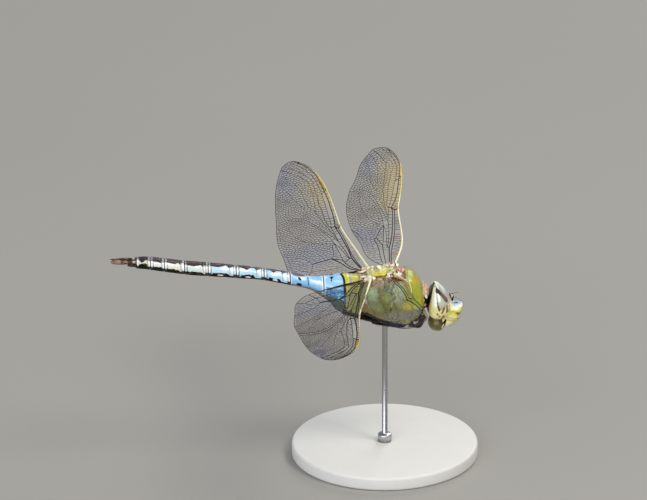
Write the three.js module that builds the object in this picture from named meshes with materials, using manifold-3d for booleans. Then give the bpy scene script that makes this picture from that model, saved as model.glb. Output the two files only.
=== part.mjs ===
/**
 * A green darner dragonfly in level flight, life size, held over a round base by one thin rod.
 *
 * Millimetres. +X is the way the head points, +Y the animal's left and +Z up. The origin is the
 * centre of the base's underside. The animal is described in body coordinates, whose zero lies on
 * the mid-plane inside the thorax; the body group lifts them to their height over the floor.
 */
import * as THREE from 'three';
import { mergeVertices } from 'three/addons/utils/BufferGeometryUtils.js';
import Module from 'manifold-3d';

const wasm = await Module();
wasm.setup();

// ---------------------------------------------------------------- driving dimensions

const BODY_HEIGHT = 36; // floor to the zero of the body coordinates
const GAP = 0.3; // clearance between neighbouring plates
const CUT = GAP / 2; // clearance taken from one side of a joint
const LEFT = 1;
const RIGHT = -1;
const SIDES = [['left', LEFT], ['right', RIGHT]];

// Stand: a flat disc and one rod that rises between the legs.
const BASE = { radius: 20, thickness: 3, chamfer: 0.5, segments: 40 };
const ROD = { radius: 0.6, x: 0, segments: 16 };

// Pterothorax: stations along the body, each with its centre height and full size.
const THORAX = [
  { x: -5.5, z: 1.4, height: 9.2, width: 7.6 },
  { x: -3.2, z: 1.5, height: 9.1, width: 8.1 },
  { x: 0.0, z: 1.4, height: 10.0, width: 8.7 },
  { x: 3.6, z: 1.35, height: 11.4, width: 8.8 },
  { x: 6.0, z: 0.7, height: 10.9, width: 8.2 },
  { x: 7.4, z: -0.1, height: 8.9, width: 6.8 },
  { x: 8.1, z: -0.8, height: 5.6, width: 4.8 },
];
const THORAX_RINGS = 13;
const THORAX_SIDES = 22;
const THORAX_TOP_POWER = 3.0; // squarer over the wing hinges
const THORAX_BELLY_POWER = 2.2;

// Prothorax: the small ring that carries the head, between thorax and occiput.
const PROTHORAX = [
  { x: 7.2, z: 0.9, height: 5.6, width: 4.0 },
  { x: 8.2, z: 0.9, height: 6.0, width: 4.4 },
  { x: 8.9, z: 0.6, height: 5.0, width: 3.6 },
  { x: 9.5, z: 0.3, height: 3.2, width: 2.6 },
];

// Abdomen: stations at the joints of the ten segments, from the thorax to the tail.
const ABDOMEN = [
  { x: -5.8, z: 1.35, height: 9.0, width: 7.6 },
  { x: -8.6, z: 2.1, height: 8.4, width: 7.4 },
  { x: -10.4, z: 2.6, height: 7.1, width: 7.0 },
  { x: -13.3, z: 3.6, height: 4.5, width: 4.5 },
  { x: -16.5, z: 4.65, height: 2.8, width: 2.8 },
  { x: -20.4, z: 5.65, height: 2.7, width: 3.0 },
  { x: -26.0, z: 6.9, height: 2.5, width: 2.8 },
  { x: -32.0, z: 7.7, height: 2.65, width: 3.0 },
  { x: -38.0, z: 8.4, height: 2.8, width: 3.3 },
  { x: -43.1, z: 9.0, height: 2.8, width: 3.4 },
  { x: -47.4, z: 9.7, height: 2.7, width: 3.4 },
  { x: -50.4, z: 10.2, height: 2.6, width: 3.2 },
  { x: -53.4, z: 10.45, height: 2.3, width: 2.8 },
];
const SEGMENT_JOINTS = [-5.8, -8.6, -13.3, -20.4, -26.0, -32.0, -38.0, -43.1, -47.4, -50.4, -53.4];
const SEGMENT_STEP = 1.5; // about the distance between rings
const SEGMENT_SIDES = 16;
const ABDOMEN_POWER = 2.2;

// Tail appendages: two leaf-shaped cerci and the short plate under them.
const CERCUS = { length: 5.3, width: 1.25, thickness: 0.6, rootWidth: 0.75, spread: 0.75, rise: 0.25 };
const EPIPROCT = { length: 1.7, width: 1.5, thickness: 0.6, drop: 0.75 };
const TAIL = { x: -53.4, z: 10.45 };

// Eyes: two halves of one globe, pointed and leaning back at the crown, that meet on a seam.
const GLOBE = { x: 11.85, z: -0.1, halfLength: 2.45, halfWidth: 5.2, halfHeight: 3.85 };
const GLOBE_LEAN = { crown: -1.0, foot: -0.3 }; // shift of its top and bottom along X
const GLOBE_POINT = 0.4; // how much narrower the crown is than the middle
const GLOBE_WRAP = 0.7; // how far the outer sides lag behind
const GLOBE_STEPS = { around: 24, up: 12 };

// Skull: the plate behind the eyes, the core between them and the bump that bears the feelers.
const OCCIPUT = { across: 0.74, up: 0.88, back: 0.4, front: 10.4, around: 16, rings: 10 };
const CORE = { x: 11.6, z: -2.0, halfLength: 2.5, halfWidth: 2.5, halfHeight: 2.9 };
const VERTEX = { x: 13.6, z: 0.0, halfLength: 1.0, halfWidth: 0.95, halfHeight: 0.9 };

// Face: plates stacked down a line that leans back, from the brow to the upper lip.
const FACE = { x: 14.6, z: -0.3, lean: 18.4 };
const FACE_PLATES = [
  {
    name: 'frons',
    rings: [
      { down: -0.1, front: 1.6, half: 1.7 },
      { down: 0.25, front: 2.15, half: 2.05 },
      { down: 1.1, front: 2.3, half: 2.3 },
      { down: 2.1, front: 2.1, half: 2.35 },
    ],
  },
  {
    name: 'clypeus',
    rings: [
      { down: 2.4, front: 2.05, half: 2.4 },
      { down: 3.2, front: 2.15, half: 2.45 },
      { down: 4.1, front: 1.8, half: 2.3 },
    ],
  },
  {
    name: 'labrum',
    rings: [
      { down: 4.4, front: 1.75, half: 2.2 },
      { down: 5.2, front: 1.4, half: 2.05 },
      { down: 6.0, front: 0.7, half: 1.5 },
    ],
  },
];
const FACE_DEPTH = -1.6; // how far behind the face line its plates reach
const FACE_SIDES = 14;
const LABIUM = { x: 11.15, z: -5.25, halfLength: 1.85, halfWidth: 2.7, halfHeight: 2.05 };
const MANDIBLE = { x: 12.6, y: 1.7, z: -4.9, halfLength: 0.55, halfWidth: 0.75, halfHeight: 1.3 };
const FEELER = { x: 14.1, y: 0.75, z: 0.35, length: 3.2, rootRadius: 0.3, tipRadius: 0.25 };

// Wings: each edge is given as [part of the length, distance behind the hinge line].
const WING_THICKNESS = 0.5;
const WING_ROOT_THICKNESS = 1.3;
const WING_ROOT_REACH = 2.6; // length over which the root thins to the blade
const WING_STATIONS = 18;
const WING_CHORDS = 4;
const FORE_WING = {
  length: 51,
  root: { x: 2.3, y: 2.8, z: 6.9 },
  leading: [[0, 0], [0.2, -1.2], [0.51, 0.1], [0.62, -0.1], [0.72, -0.3], [0.82, -0.2], [0.91, 0.3], [0.97, 1.6]],
  tip: [1, 3.4],
  trailing: [
    [0, 2.3], [0.04, 4.4], [0.1, 6.3], [0.2, 7.7], [0.32, 9.9], [0.46, 11.2],
    [0.6, 10.9], [0.72, 9.6], [0.83, 8.8], [0.91, 7.4], [0.97, 6.0],
  ],
};
const HIND_WING = {
  length: 50,
  root: { x: -3.3, y: 3.1, z: 6.2 },
  leading: [[0, 0], [0.2, 0.1], [0.42, 0.4], [0.55, -0.1], [0.7, -0.6], [0.82, -0.6], [0.91, 0.2], [0.97, 1.7]],
  tip: [1, 4.0],
  trailing: [
    [0, 1.4], [0.03, 8.0], [0.08, 13.8], [0.16, 15.5], [0.28, 15.2], [0.42, 14.7],
    [0.56, 13.1], [0.7, 11.5], [0.82, 9.8], [0.91, 8.0], [0.97, 6.4],
  ],
};
// How each wing is held in the beat: degrees, and millimetres of bending at the tip.
const WING_POSES = [
  {
    name: 'wing_fore_left', wing: FORE_WING, side: LEFT,
    sweep: -6.6, lift: 3.0, twist: 5.8, wash: -18.6, bend: 2.1, bow: 0.5,
  },
  {
    name: 'wing_fore_right', wing: FORE_WING, side: RIGHT,
    sweep: -3.5, lift: 13.4, twist: 11.2, wash: 0.3, bend: -1.3, bow: -0.5,
  },
  {
    name: 'wing_hind_left', wing: HIND_WING, side: LEFT,
    sweep: 11.2, lift: -0.2, twist: 13.5, wash: -13.8, bend: 4.7, bow: -0.7,
  },
  {
    name: 'wing_hind_right', wing: HIND_WING, side: RIGHT,
    sweep: 10.8, lift: 0.7, twist: 11.8, wash: 0.9, bend: 3.4, bow: -2.2,
  },
];

// Legs, folded under the thorax: hip, thigh, knee, shin, ankle and foot of the left ones.
const LEGS = [
  {
    name: 'leg_fore',
    joints: [
      [5.7, 1.35, -5.5], [7.3, 1.5, -5.5], [8.6, 1.85, -3.1],
      [8.1, 2.65, -3.3], [6.6, 2.7, -5.0], [4.6, 2.75, -5.3],
    ],
    radii: [0.5, 0.42, 0.33, 0.3, 0.27, 0.25],
  },
  {
    name: 'leg_middle',
    joints: [
      [4.2, 1.3, -5.2], [0.8, 1.25, -4.5], [-2.7, 1.35, -3.9],
      [-2.6, 2.0, -4.5], [1.2, 2.0, -4.85], [3.4, 2.05, -5.35],
    ],
    radii: [0.5, 0.4, 0.33, 0.29, 0.27, 0.25],
  },
  {
    name: 'leg_hind',
    joints: [
      [1.6, 2.15, -4.1], [-2.7, 2.65, -3.35], [-7.6, 3.2, -1.6],
      [-7.5, 3.85, -1.2], [-2.7, 3.55, -2.85], [1.0, 3.25, -3.75],
    ],
    radii: [0.52, 0.44, 0.33, 0.3, 0.27, 0.25],
  },
];
const LEG_STATIONS = 16;
const LEG_SIDES = 6;

// ---------------------------------------------------------------- finishes

const finish = (color, roughness, metalness = 0) =>
  new THREE.MeshStandardMaterial({ color, roughness, metalness });

const GREEN_PLATE = finish('#8b9a3c', 0.45);
const BLUE_PLATE = finish('#7fb6e6', 0.4);
const PALE_PLATE = finish('#c9d0b8', 0.45);
const DARK_PLATE = finish('#2a201a', 0.4);
const FACE_PLATE = finish('#cdd25a', 0.35);
const LIP_PLATE = finish('#6f6a36', 0.45);
const EYE_SHELL = finish('#cfcda4', 0.15);
const WING_PLATE = finish('#c8c6b4', 0.2);
const STAND_PAINT = finish('#d8d8d4', 0.6);
const STAND_STEEL = finish('#b4b4b4', 0.3, 1);

// ---------------------------------------------------------------- shaping helpers

/** Value at x of a smooth curve through rising or falling stations, by Catmull-Rom slopes. */
function valueAt(stations, key, x) {
  const rising = stations[0].x < stations[stations.length - 1].x;
  const list = rising ? stations : [...stations].reverse();
  const last = list.length - 2;
  let i = 0;
  while (i < last && x > list[i + 1].x) i += 1;
  const slope = (k) => {
    const a = list[Math.max(k - 1, 0)];
    const b = list[Math.min(k + 1, list.length - 1)];
    return (b[key] - a[key]) / (b.x - a.x);
  };
  const span = list[i + 1].x - list[i].x;
  const t = THREE.MathUtils.clamp((x - list[i].x) / span, 0, 1);
  const t2 = t * t;
  const t3 = t2 * t;
  return (
    (2 * t3 - 3 * t2 + 1) * list[i][key]
    + (t3 - 2 * t2 + t) * span * slope(i)
    + (3 * t2 - 2 * t3) * list[i + 1][key]
    + (t3 - t2) * span * slope(i + 1)
  );
}

/** Signed volume of an indexed triangle mesh, positive when its faces point out. */
function signedVolume(geometry) {
  const position = geometry.getAttribute('position');
  const index = geometry.getIndex();
  const [a, b, c] = [new THREE.Vector3(), new THREE.Vector3(), new THREE.Vector3()];
  let volume = 0;
  for (let i = 0; i < index.count; i += 3) {
    a.fromBufferAttribute(position, index.getX(i));
    b.fromBufferAttribute(position, index.getX(i + 1));
    c.fromBufferAttribute(position, index.getX(i + 2));
    volume += a.dot(b.cross(c)) / 6;
  }
  return volume;
}

/** Closed skin over rings of equally many points, with a fan over each end. */
function skin(rings) {
  const sides = rings[0].length;
  const points = rings.flat();
  const middle = (ring) => ring.reduce((sum, p) => sum.add(p), new THREE.Vector3()).divideScalar(sides);
  const first = points.push(middle(rings[0])) - 1;
  const last = points.push(middle(rings[rings.length - 1])) - 1;
  const index = [];
  for (let r = 0; r + 1 < rings.length; r += 1) {
    for (let s = 0; s < sides; s += 1) {
      const next = (s + 1) % sides;
      const [a, b, c, d] = [r * sides + s, r * sides + next, (r + 1) * sides + next, (r + 1) * sides + s];
      index.push(a, b, c, a, c, d);
    }
  }
  const end = (rings.length - 1) * sides;
  for (let s = 0; s < sides; s += 1) {
    const next = (s + 1) % sides;
    index.push(first, next, s, last, end + s, end + next);
  }
  const geometry = new THREE.BufferGeometry().setFromPoints(points);
  geometry.setIndex(index);
  if (signedVolume(geometry) < 0) geometry.setIndex(index.reverse());
  return geometry;
}

/** Unit coordinates on a rounded outline: power 2 is an ellipse, more is squarer. */
function outline(angle, power) {
  const bulge = (v) => Math.sign(v) * Math.abs(v) ** (2 / power);
  return [bulge(Math.cos(angle)), bulge(Math.sin(angle))];
}

/** Upright ring of a body section at x, from the stations of that part of the body. */
function sectionRing(stations, x, sides, topPower, bellyPower) {
  const z = valueAt(stations, 'z', x);
  const halfHeight = valueAt(stations, 'height', x) / 2;
  const halfWidth = valueAt(stations, 'width', x) / 2;
  const ring = [];
  for (let s = 0; s < sides; s += 1) {
    const angle = (2 * Math.PI * s) / sides;
    const [across, up] = outline(angle, Math.sin(angle) > 0 ? topPower : bellyPower);
    ring.push(new THREE.Vector3(x, across * halfWidth, z + up * halfHeight));
  }
  return ring;
}

/** Evenly spaced numbers from a to b, both ends included. */
const steps = (a, b, count) => Array.from({ length: count + 1 }, (_, i) => a + ((b - a) * i) / count);

/** Body section lofted from one x to another. */
function bodyLoft(stations, from, to, count, sides, topPower, bellyPower = topPower) {
  return skin(steps(from, to, count).map((x) => sectionRing(stations, x, sides, topPower, bellyPower)));
}

/** Closed ball of unit directions, with each point moved by the shape function. */
function ball(around, up, shape) {
  const geometry = new THREE.SphereGeometry(1, around, up);
  geometry.rotateX(Math.PI / 2);
  const position = geometry.getAttribute('position');
  const p = new THREE.Vector3();
  for (let i = 0; i < position.count; i += 1) {
    shape(p.fromBufferAttribute(position, i));
    position.setXYZ(i, p.x, p.y, p.z);
  }
  return welded(geometry);
}

/** Ellipsoid from a record of its centre and half sizes. */
const ellipsoid = ({ x, y = 0, z, halfLength, halfWidth, halfHeight }, around = 16, up = 10) =>
  ball(around, up, (p) => p.set(x + p.x * halfLength, y + p.y * halfWidth, z + p.z * halfHeight));

/** The same geometry with its shared vertices merged and nothing but positions left. */
function welded(geometry) {
  geometry.deleteAttribute('normal');
  geometry.deleteAttribute('uv');
  return mergeVertices(geometry, 1e-4);
}

/** Solid of a closed geometry, ready for a join or a cut. */
function solidOf(geometry) {
  const clean = welded(geometry.clone());
  return new wasm.Manifold(new wasm.Mesh({
    numProp: 3,
    vertProperties: new Float32Array(clean.getAttribute('position').array),
    triVerts: new Uint32Array(clean.getIndex().array),
  }));
}

/** Geometry of a solid. */
function geometryOf(solid) {
  const mesh = solid.getMesh();
  const geometry = new THREE.BufferGeometry();
  geometry.setAttribute('position', new THREE.BufferAttribute(mesh.vertProperties, 3));
  geometry.setIndex(new THREE.BufferAttribute(mesh.triVerts, 1));
  return geometry;
}

/** The geometry grown outwards by a distance along its own normals. */
function grown(geometry, distance) {
  const result = welded(geometry.clone());
  result.computeVertexNormals();
  const position = result.getAttribute('position');
  const normal = result.getAttribute('normal');
  for (let i = 0; i < position.count; i += 1) {
    position.setXYZ(
      i,
      position.getX(i) + normal.getX(i) * distance,
      position.getY(i) + normal.getY(i) * distance,
      position.getZ(i) + normal.getZ(i) * distance,
    );
  }
  return welded(result);
}

/** The biggest body of a solid, without the crumbs that a cut can leave. */
function mainBody(solid) {
  const bodies = solid.decompose();
  return bodies.reduce((best, body) => (body.volume() > best.volume() ? body : best));
}

/** A geometry cut clear of its neighbours by the usual gap. */
function clearOf(geometry, ...neighbours) {
  const cut = neighbours.reduce((solid, other) => solid.subtract(solidOf(grown(other, GAP))), solidOf(geometry));
  return geometryOf(mainBody(cut));
}

/** Tapered limb along a smooth line through its joints. */
function limb(joints, radii, stations, sides) {
  const curve = new THREE.CatmullRomCurve3(joints.map((p) => new THREE.Vector3(...p)), false, 'centripetal');
  const frames = curve.computeFrenetFrames(stations, false);
  const spread = radii.map((radius, i) => ({ x: i / (radii.length - 1), radius }));
  const rings = [];
  for (let i = 0; i <= stations; i += 1) {
    const part = i / stations;
    const centre = curve.getPointAt(part);
    const radius = valueAt(spread, 'radius', part);
    const ring = [];
    for (let s = 0; s < sides; s += 1) {
      const angle = (2 * Math.PI * s) / sides;
      ring.push(centre.clone()
        .addScaledVector(frames.normals[i], Math.cos(angle) * radius)
        .addScaledVector(frames.binormals[i], Math.sin(angle) * radius));
    }
    rings.push(ring);
  }
  return skin(rings);
}

const mirrored = (joints, side) => joints.map(([x, y, z]) => [x, y * side, z]);

// ---------------------------------------------------------------- body

const group = new THREE.Group();
const body = new THREE.Group();
body.position.z = BODY_HEIGHT;
group.add(body);

/** Adds a named piece to the animal. */
function addPiece(name, geometry, material, parent = body) {
  const mesh = new THREE.Mesh(geometry, material);
  mesh.name = name;
  parent.add(mesh);
  return mesh;
}

const thoraxEnd = THORAX[THORAX.length - 1].x;
const thorax = bodyLoft(
  THORAX, THORAX[0].x + CUT, thoraxEnd, THORAX_RINGS, THORAX_SIDES, THORAX_TOP_POWER, THORAX_BELLY_POWER,
);
addPiece('thorax', thorax, GREEN_PLATE);

function abdomenSegment(front, rear) {
  const count = Math.max(2, Math.round((front - rear) / SEGMENT_STEP));
  return bodyLoft(ABDOMEN, front - CUT, rear + CUT, count, SEGMENT_SIDES, ABDOMEN_POWER);
}

const abdomen = SEGMENT_JOINTS.slice(1).map((rear, i) => abdomenSegment(SEGMENT_JOINTS[i], rear));
const segmentPlate = (i) => (i < 1 ? GREEN_PLATE : i < 6 ? BLUE_PLATE : PALE_PLATE);
abdomen.forEach((segment, i) => addPiece(`abdomen_s${i + 1}`, segment, segmentPlate(i)));

// ---------------------------------------------------------------- tail appendages

/** Flat leaf along -X from the last segment: half width grows from the root and closes at the tip. */
function leaf({ length, width, thickness, rootWidth, y, z, rise, spread }) {
  const rings = steps(0, 1, 6).map((part) => {
    const swell = Math.sin(Math.PI * Math.min(1, 0.15 + part * 0.8));
    const halfWidth = (rootWidth + (width - rootWidth) * swell) / 2;
    const x = TAIL.x - GAP - part * length;
    return steps(0, 7, 7).map((s) => {
      const angle = (2 * Math.PI * s) / 8;
      return new THREE.Vector3(
        x,
        y + spread * part + Math.cos(angle) * halfWidth,
        z + rise * part + (Math.sin(angle) * thickness) / 2,
      );
    });
  });
  return skin(rings);
}

for (const [sideName, side] of SIDES) {
  const shape = { ...CERCUS, y: side * 0.72, z: TAIL.z + 0.35, spread: side * CERCUS.spread };
  addPiece(`cercus_${sideName}`, leaf(shape), DARK_PLATE);
}
addPiece('epiproct', leaf({
  ...EPIPROCT, rootWidth: EPIPROCT.width, y: 0, z: TAIL.z - EPIPROCT.drop, rise: 0.1, spread: 0,
}), DARK_PLATE);

// ---------------------------------------------------------------- head

/** Moves a unit direction onto the globe that both eyes share. */
function ontoGlobe(p) {
  const lean = p.z > 0 ? GLOBE_LEAN.crown : GLOBE_LEAN.foot;
  const slimmer = 1 - GLOBE_POINT * p.z;
  return p.set(
    GLOBE.x + p.x * GLOBE.halfLength * slimmer + lean * p.z * p.z - GLOBE_WRAP * p.y * p.y,
    p.y * GLOBE.halfWidth,
    GLOBE.z + p.z * GLOBE.halfHeight,
  );
}

/** Half of the globe on one side of the seam. */
function eyeHalf(side) {
  return ball(GLOBE_STEPS.around, GLOBE_STEPS.up, (p) => {
    ontoGlobe(p);
    p.y = side * Math.max(p.y * side, CUT);
  });
}

/** Plate behind the eyes: a smaller globe, set back and cut off in front. */
const occiput = ball(OCCIPUT.around, OCCIPUT.rings, (p) => {
  ontoGlobe(p);
  p.set(
    Math.min(p.x - OCCIPUT.back, OCCIPUT.front),
    p.y * OCCIPUT.across,
    GLOBE.z + (p.z - GLOBE.z) * OCCIPUT.up,
  );
});
const skullParts = [occiput, ellipsoid(CORE, 14, 8), ellipsoid(VERTEX, 10, 6)];
const skull = geometryOf(skullParts.map(solidOf).reduce((whole, part) => whole.add(part)));
const eyes = SIDES.map(([, side]) => clearOf(eyeHalf(side), ...skullParts));

/** Ring across the face at a distance down the face line. */
function faceRing({ down, front, half }) {
  const lean = THREE.MathUtils.degToRad(FACE.lean);
  const ring = [];
  for (let s = 0; s < FACE_SIDES; s += 1) {
    const [forth, across] = outline((2 * Math.PI * s) / FACE_SIDES, 2.4);
    const reach = FACE_DEPTH + ((front - FACE_DEPTH) * (1 + forth)) / 2;
    ring.push(new THREE.Vector3(
      FACE.x - Math.sin(lean) * down + Math.cos(lean) * reach,
      across * half,
      FACE.z - Math.cos(lean) * down - Math.sin(lean) * reach,
    ));
  }
  return ring;
}

addPiece('head_capsule', skull, DARK_PLATE);
SIDES.forEach(([sideName], i) => addPiece(`eye_${sideName}`, eyes[i], EYE_SHELL));

const facePlates = FACE_PLATES.map(({ rings }) => clearOf(skin(rings.map(faceRing)), skull, ...eyes));
FACE_PLATES.forEach(({ name }, i) => addPiece(name, facePlates[i], FACE_PLATE));
const lowerLip = clearOf(ellipsoid(LABIUM), skull, ...eyes, ...facePlates);
addPiece('labium', lowerLip, LIP_PLATE);

for (const [sideName, side] of SIDES) {
  const jaw = ellipsoid({ ...MANDIBLE, y: side * MANDIBLE.y }, 12, 8);
  addPiece(`mandible_${sideName}`, clearOf(jaw, skull, ...eyes, ...facePlates, lowerLip), DARK_PLATE);

  const root = [FEELER.x, side * FEELER.y, FEELER.z];
  const middle = [FEELER.x + FEELER.length * 0.4, side * (FEELER.y + 0.7), FEELER.z + FEELER.length * 0.3];
  const tip = [FEELER.x + FEELER.length * 0.75, side * (FEELER.y + 1.5), FEELER.z + FEELER.length * 0.42];
  const feeler = limb([root, middle, tip], [FEELER.rootRadius, FEELER.rootRadius, FEELER.tipRadius], 6, 6);
  addPiece(`antenna_${sideName}`, clearOf(feeler, skull, ...eyes, facePlates[0]), DARK_PLATE);
}

const neck = bodyLoft(PROTHORAX, PROTHORAX[0].x, PROTHORAX[PROTHORAX.length - 1].x, 6, 16, 2);
addPiece('prothorax', clearOf(neck, thorax, skull, ...eyes), PALE_PLATE);

// ---------------------------------------------------------------- wings

/** Two edge curves of a wing in its own plane, both running from the root to the tip. */
function wingEdges({ length, leading, trailing, tip }) {
  const around = [...leading, tip, ...[...trailing].reverse()];
  const curve = new THREE.CatmullRomCurve3(
    around.map(([part, behind]) => new THREE.Vector3(part * length, behind, 0)), false, 'centripetal',
  );
  const tipPart = leading.length / (around.length - 1);
  return {
    front: (part) => curve.getPoint(part * tipPart),
    back: (part) => curve.getPoint(1 - part * (1 - tipPart)),
  };
}

/** Blade of a wing in the pose it is held in, in body coordinates. */
function wingBlade({ wing, side, sweep, lift, twist, wash, bend, bow }) {
  const { front, back } = wingEdges(wing);
  const turn = new THREE.Matrix4().makeRotationFromEuler(new THREE.Euler(
    side * THREE.MathUtils.degToRad(lift), 0, side * THREE.MathUtils.degToRad(sweep), 'ZXY',
  ));
  turn.setPosition(wing.root.x, side * wing.root.y, wing.root.z);
  const bladePoint = (along, behind, above) => {
    const part = along / wing.length;
    const pitch = THREE.MathUtils.degToRad(twist + wash * part);
    return new THREE.Vector3(
      -behind * Math.cos(pitch) - above * Math.sin(pitch) - bow * part * part,
      side * along,
      -behind * Math.sin(pitch) + above * Math.cos(pitch) + bend * part * part,
    ).applyMatrix4(turn);
  };
  const rings = steps(0, 1, WING_STATIONS).map((raw) => {
    const part = Math.min(1 - (1 - raw) ** 1.4, 0.995);
    const [a, b] = [front(part), back(part)];
    const rootness = Math.max(0, 1 - (part * wing.length) / WING_ROOT_REACH);
    const half = (WING_THICKNESS + (WING_ROOT_THICKNESS - WING_THICKNESS) * rootness) / 2;
    const across = steps(0, 1, WING_CHORDS).map((t) => a.clone().lerp(b, t));
    const over = across.map((p) => bladePoint(p.x, p.y, half));
    const under = across.reverse().map((p) => bladePoint(p.x, p.y, -half));
    return [...over, ...under];
  });
  return skin(rings);
}

for (const pose of WING_POSES) {
  addPiece(pose.name, clearOf(wingBlade(pose), thorax, abdomen[0], abdomen[1]), WING_PLATE);
}

// ---------------------------------------------------------------- legs

for (const { name, joints, radii } of LEGS) {
  for (const [sideName, side] of SIDES) {
    const leg = limb(mirrored(joints, side), radii, LEG_STATIONS, LEG_SIDES);
    addPiece(`${name}_${sideName}`, leg, DARK_PLATE);
  }
}

// ---------------------------------------------------------------- stand

const { radius, thickness, chamfer, segments } = BASE;
const baseProfile = [
  [0, 0], [radius, 0], [radius, thickness - chamfer], [radius - chamfer, thickness], [0, thickness],
].map(([x, y]) => new THREE.Vector2(x, y));
const base = new THREE.LatheGeometry(baseProfile, segments);
base.rotateX(Math.PI / 2);
addPiece('stand_base', base, STAND_PAINT, group);

const thoraxBelly = valueAt(THORAX, 'z', ROD.x) - valueAt(THORAX, 'height', ROD.x) / 2;
const rodFoot = BASE.thickness + GAP;
const rodTop = BODY_HEIGHT + thoraxBelly - GAP;
const rod = addPiece(
  'stand_rod', new THREE.CylinderGeometry(ROD.radius, ROD.radius, rodTop - rodFoot, ROD.segments), STAND_STEEL, group,
);
rod.rotation.x = Math.PI / 2;
rod.position.set(ROD.x, 0, (rodTop + rodFoot) / 2);

export default group;
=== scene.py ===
"""A male green darner dragonfly as a life-size still model on a plain display stand.

Everything lies in the part's own frame: metres, +Z up, the foot of the stand at the origin
and the head towards +X. Shapes are worked out in millimetres on the body's own axes, which
lie BODY_LIFT above the floor, and become metres when a mesh is made. Angles round the body
are in degrees from its top, so 0 is the back, 90 a flank and 180 the belly.
"""

import logging
import math
from collections import deque
from collections.abc import Callable, Sequence
from dataclasses import dataclass, field
from enum import Enum

import bpy
import numpy as np
from mathutils import Matrix, Vector
from mathutils.geometry import delaunay_2d_cdt


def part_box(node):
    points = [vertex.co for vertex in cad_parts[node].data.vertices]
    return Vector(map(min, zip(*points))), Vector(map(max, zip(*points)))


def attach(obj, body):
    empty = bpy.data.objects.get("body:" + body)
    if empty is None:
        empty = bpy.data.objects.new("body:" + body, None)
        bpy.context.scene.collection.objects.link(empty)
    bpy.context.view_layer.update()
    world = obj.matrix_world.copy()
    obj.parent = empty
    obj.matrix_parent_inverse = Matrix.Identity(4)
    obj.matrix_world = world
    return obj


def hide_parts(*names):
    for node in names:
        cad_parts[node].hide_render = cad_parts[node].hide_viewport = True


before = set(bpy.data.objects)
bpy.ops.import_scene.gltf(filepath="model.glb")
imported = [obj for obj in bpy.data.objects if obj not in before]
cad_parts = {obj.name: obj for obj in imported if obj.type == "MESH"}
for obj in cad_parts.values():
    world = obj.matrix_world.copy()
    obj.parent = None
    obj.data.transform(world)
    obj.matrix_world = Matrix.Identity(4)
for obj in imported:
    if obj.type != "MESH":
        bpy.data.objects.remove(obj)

LOG = logging.getLogger("dragonfly")
MM = 0.001
BODY_LIFT = 36.0
ROOT_BODY = "root"
Array = np.ndarray
Point = tuple[float, ...]


class Side(Enum):
    """The two sides of the animal, with the sign of Y on each."""

    LEFT = 1
    RIGHT = -1

    @property
    def label(self) -> str:
        """Word used in the names of pieces."""
        return self.name.lower()


class Slot(Enum):
    """Material slots of the record, named for each piece when it is logged."""

    BLUE = "blue_plate"
    PALE = "pale_plate"
    DARK = "dark_plate"
    FACE = "face_plate"
    LIP = "lip_plate"
    EYE = "eye_shell"
    MEMBRANE = "wing_membrane"
    VEIN = "wing_vein"
    COSTA = "wing_costa"
    PAINT = "stand_paint"
    STEEL = "stand_steel"


# ---------------------------------------------------------------- numbers


def tone(code: str) -> Array:
    """Linear colour of a six-digit hex code."""
    srgb = np.array([int(code[i : i + 2], 16) / 255 for i in (0, 2, 4)])
    return np.where(srgb <= 0.04045, srgb / 12.92, ((srgb + 0.055) / 1.055) ** 2.4)


def ease(low: float, high: float, value: Array) -> Array:
    """Smooth step from 0 at low to 1 at high; low may be the larger one."""
    t = np.clip((np.asarray(value, float) - low) / (high - low), 0, 1)
    return t * t * (3 - 2 * t)


def hump(centre: float | Array, width: float, value: Array) -> Array:
    """Bell curve of height 1 round the centre."""
    return np.exp(-(((value - centre) / width) ** 2))


def band(low: float, high: float, soft: float, value: Array) -> Array:
    """1 between low and high, fading to 0 over soft on either side."""
    return ease(low - soft, low, value) * ease(high + soft, high, value)


def along_points(points: Sequence[Point], value: Array) -> Array:
    """Values read off a broken line of (place, value) pairs."""
    places, values = np.array(points, float).T
    order = np.argsort(places)
    return np.interp(value, places[order], values[order])


def smooth_track(stations: Array, column: int, x: Array) -> Array:
    """Value at x of a smooth curve through rows of stations, whose first column is x.

    Args:
        stations: rows of (x, ...), in rising or falling order of x.
        column: the column to follow.
        x: places along the body.

    Returns:
        The values, with Catmull-Rom slopes between the stations and none beyond them.
    """
    rows = stations[np.argsort(stations[:, 0])]
    place, value = rows[:, 0], rows[:, column]
    last = len(rows) - 1
    low = np.maximum(np.arange(last + 1) - 1, 0)
    high = np.minimum(np.arange(last + 1) + 1, last)
    slope = (value[high] - value[low]) / (place[high] - place[low])
    i = np.clip(np.searchsorted(place, x, side="right") - 1, 0, last - 1)
    span = place[i + 1] - place[i]
    t = np.clip((x - place[i]) / span, 0, 1)
    start = (2 * t**3 - 3 * t**2 + 1) * value[i] + (t**3 - 2 * t**2 + t) * span * slope[i]
    end = (3 * t**2 - 2 * t**3) * value[i + 1] + (t**3 - t**2) * span * slope[i + 1]
    return start + end


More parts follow.
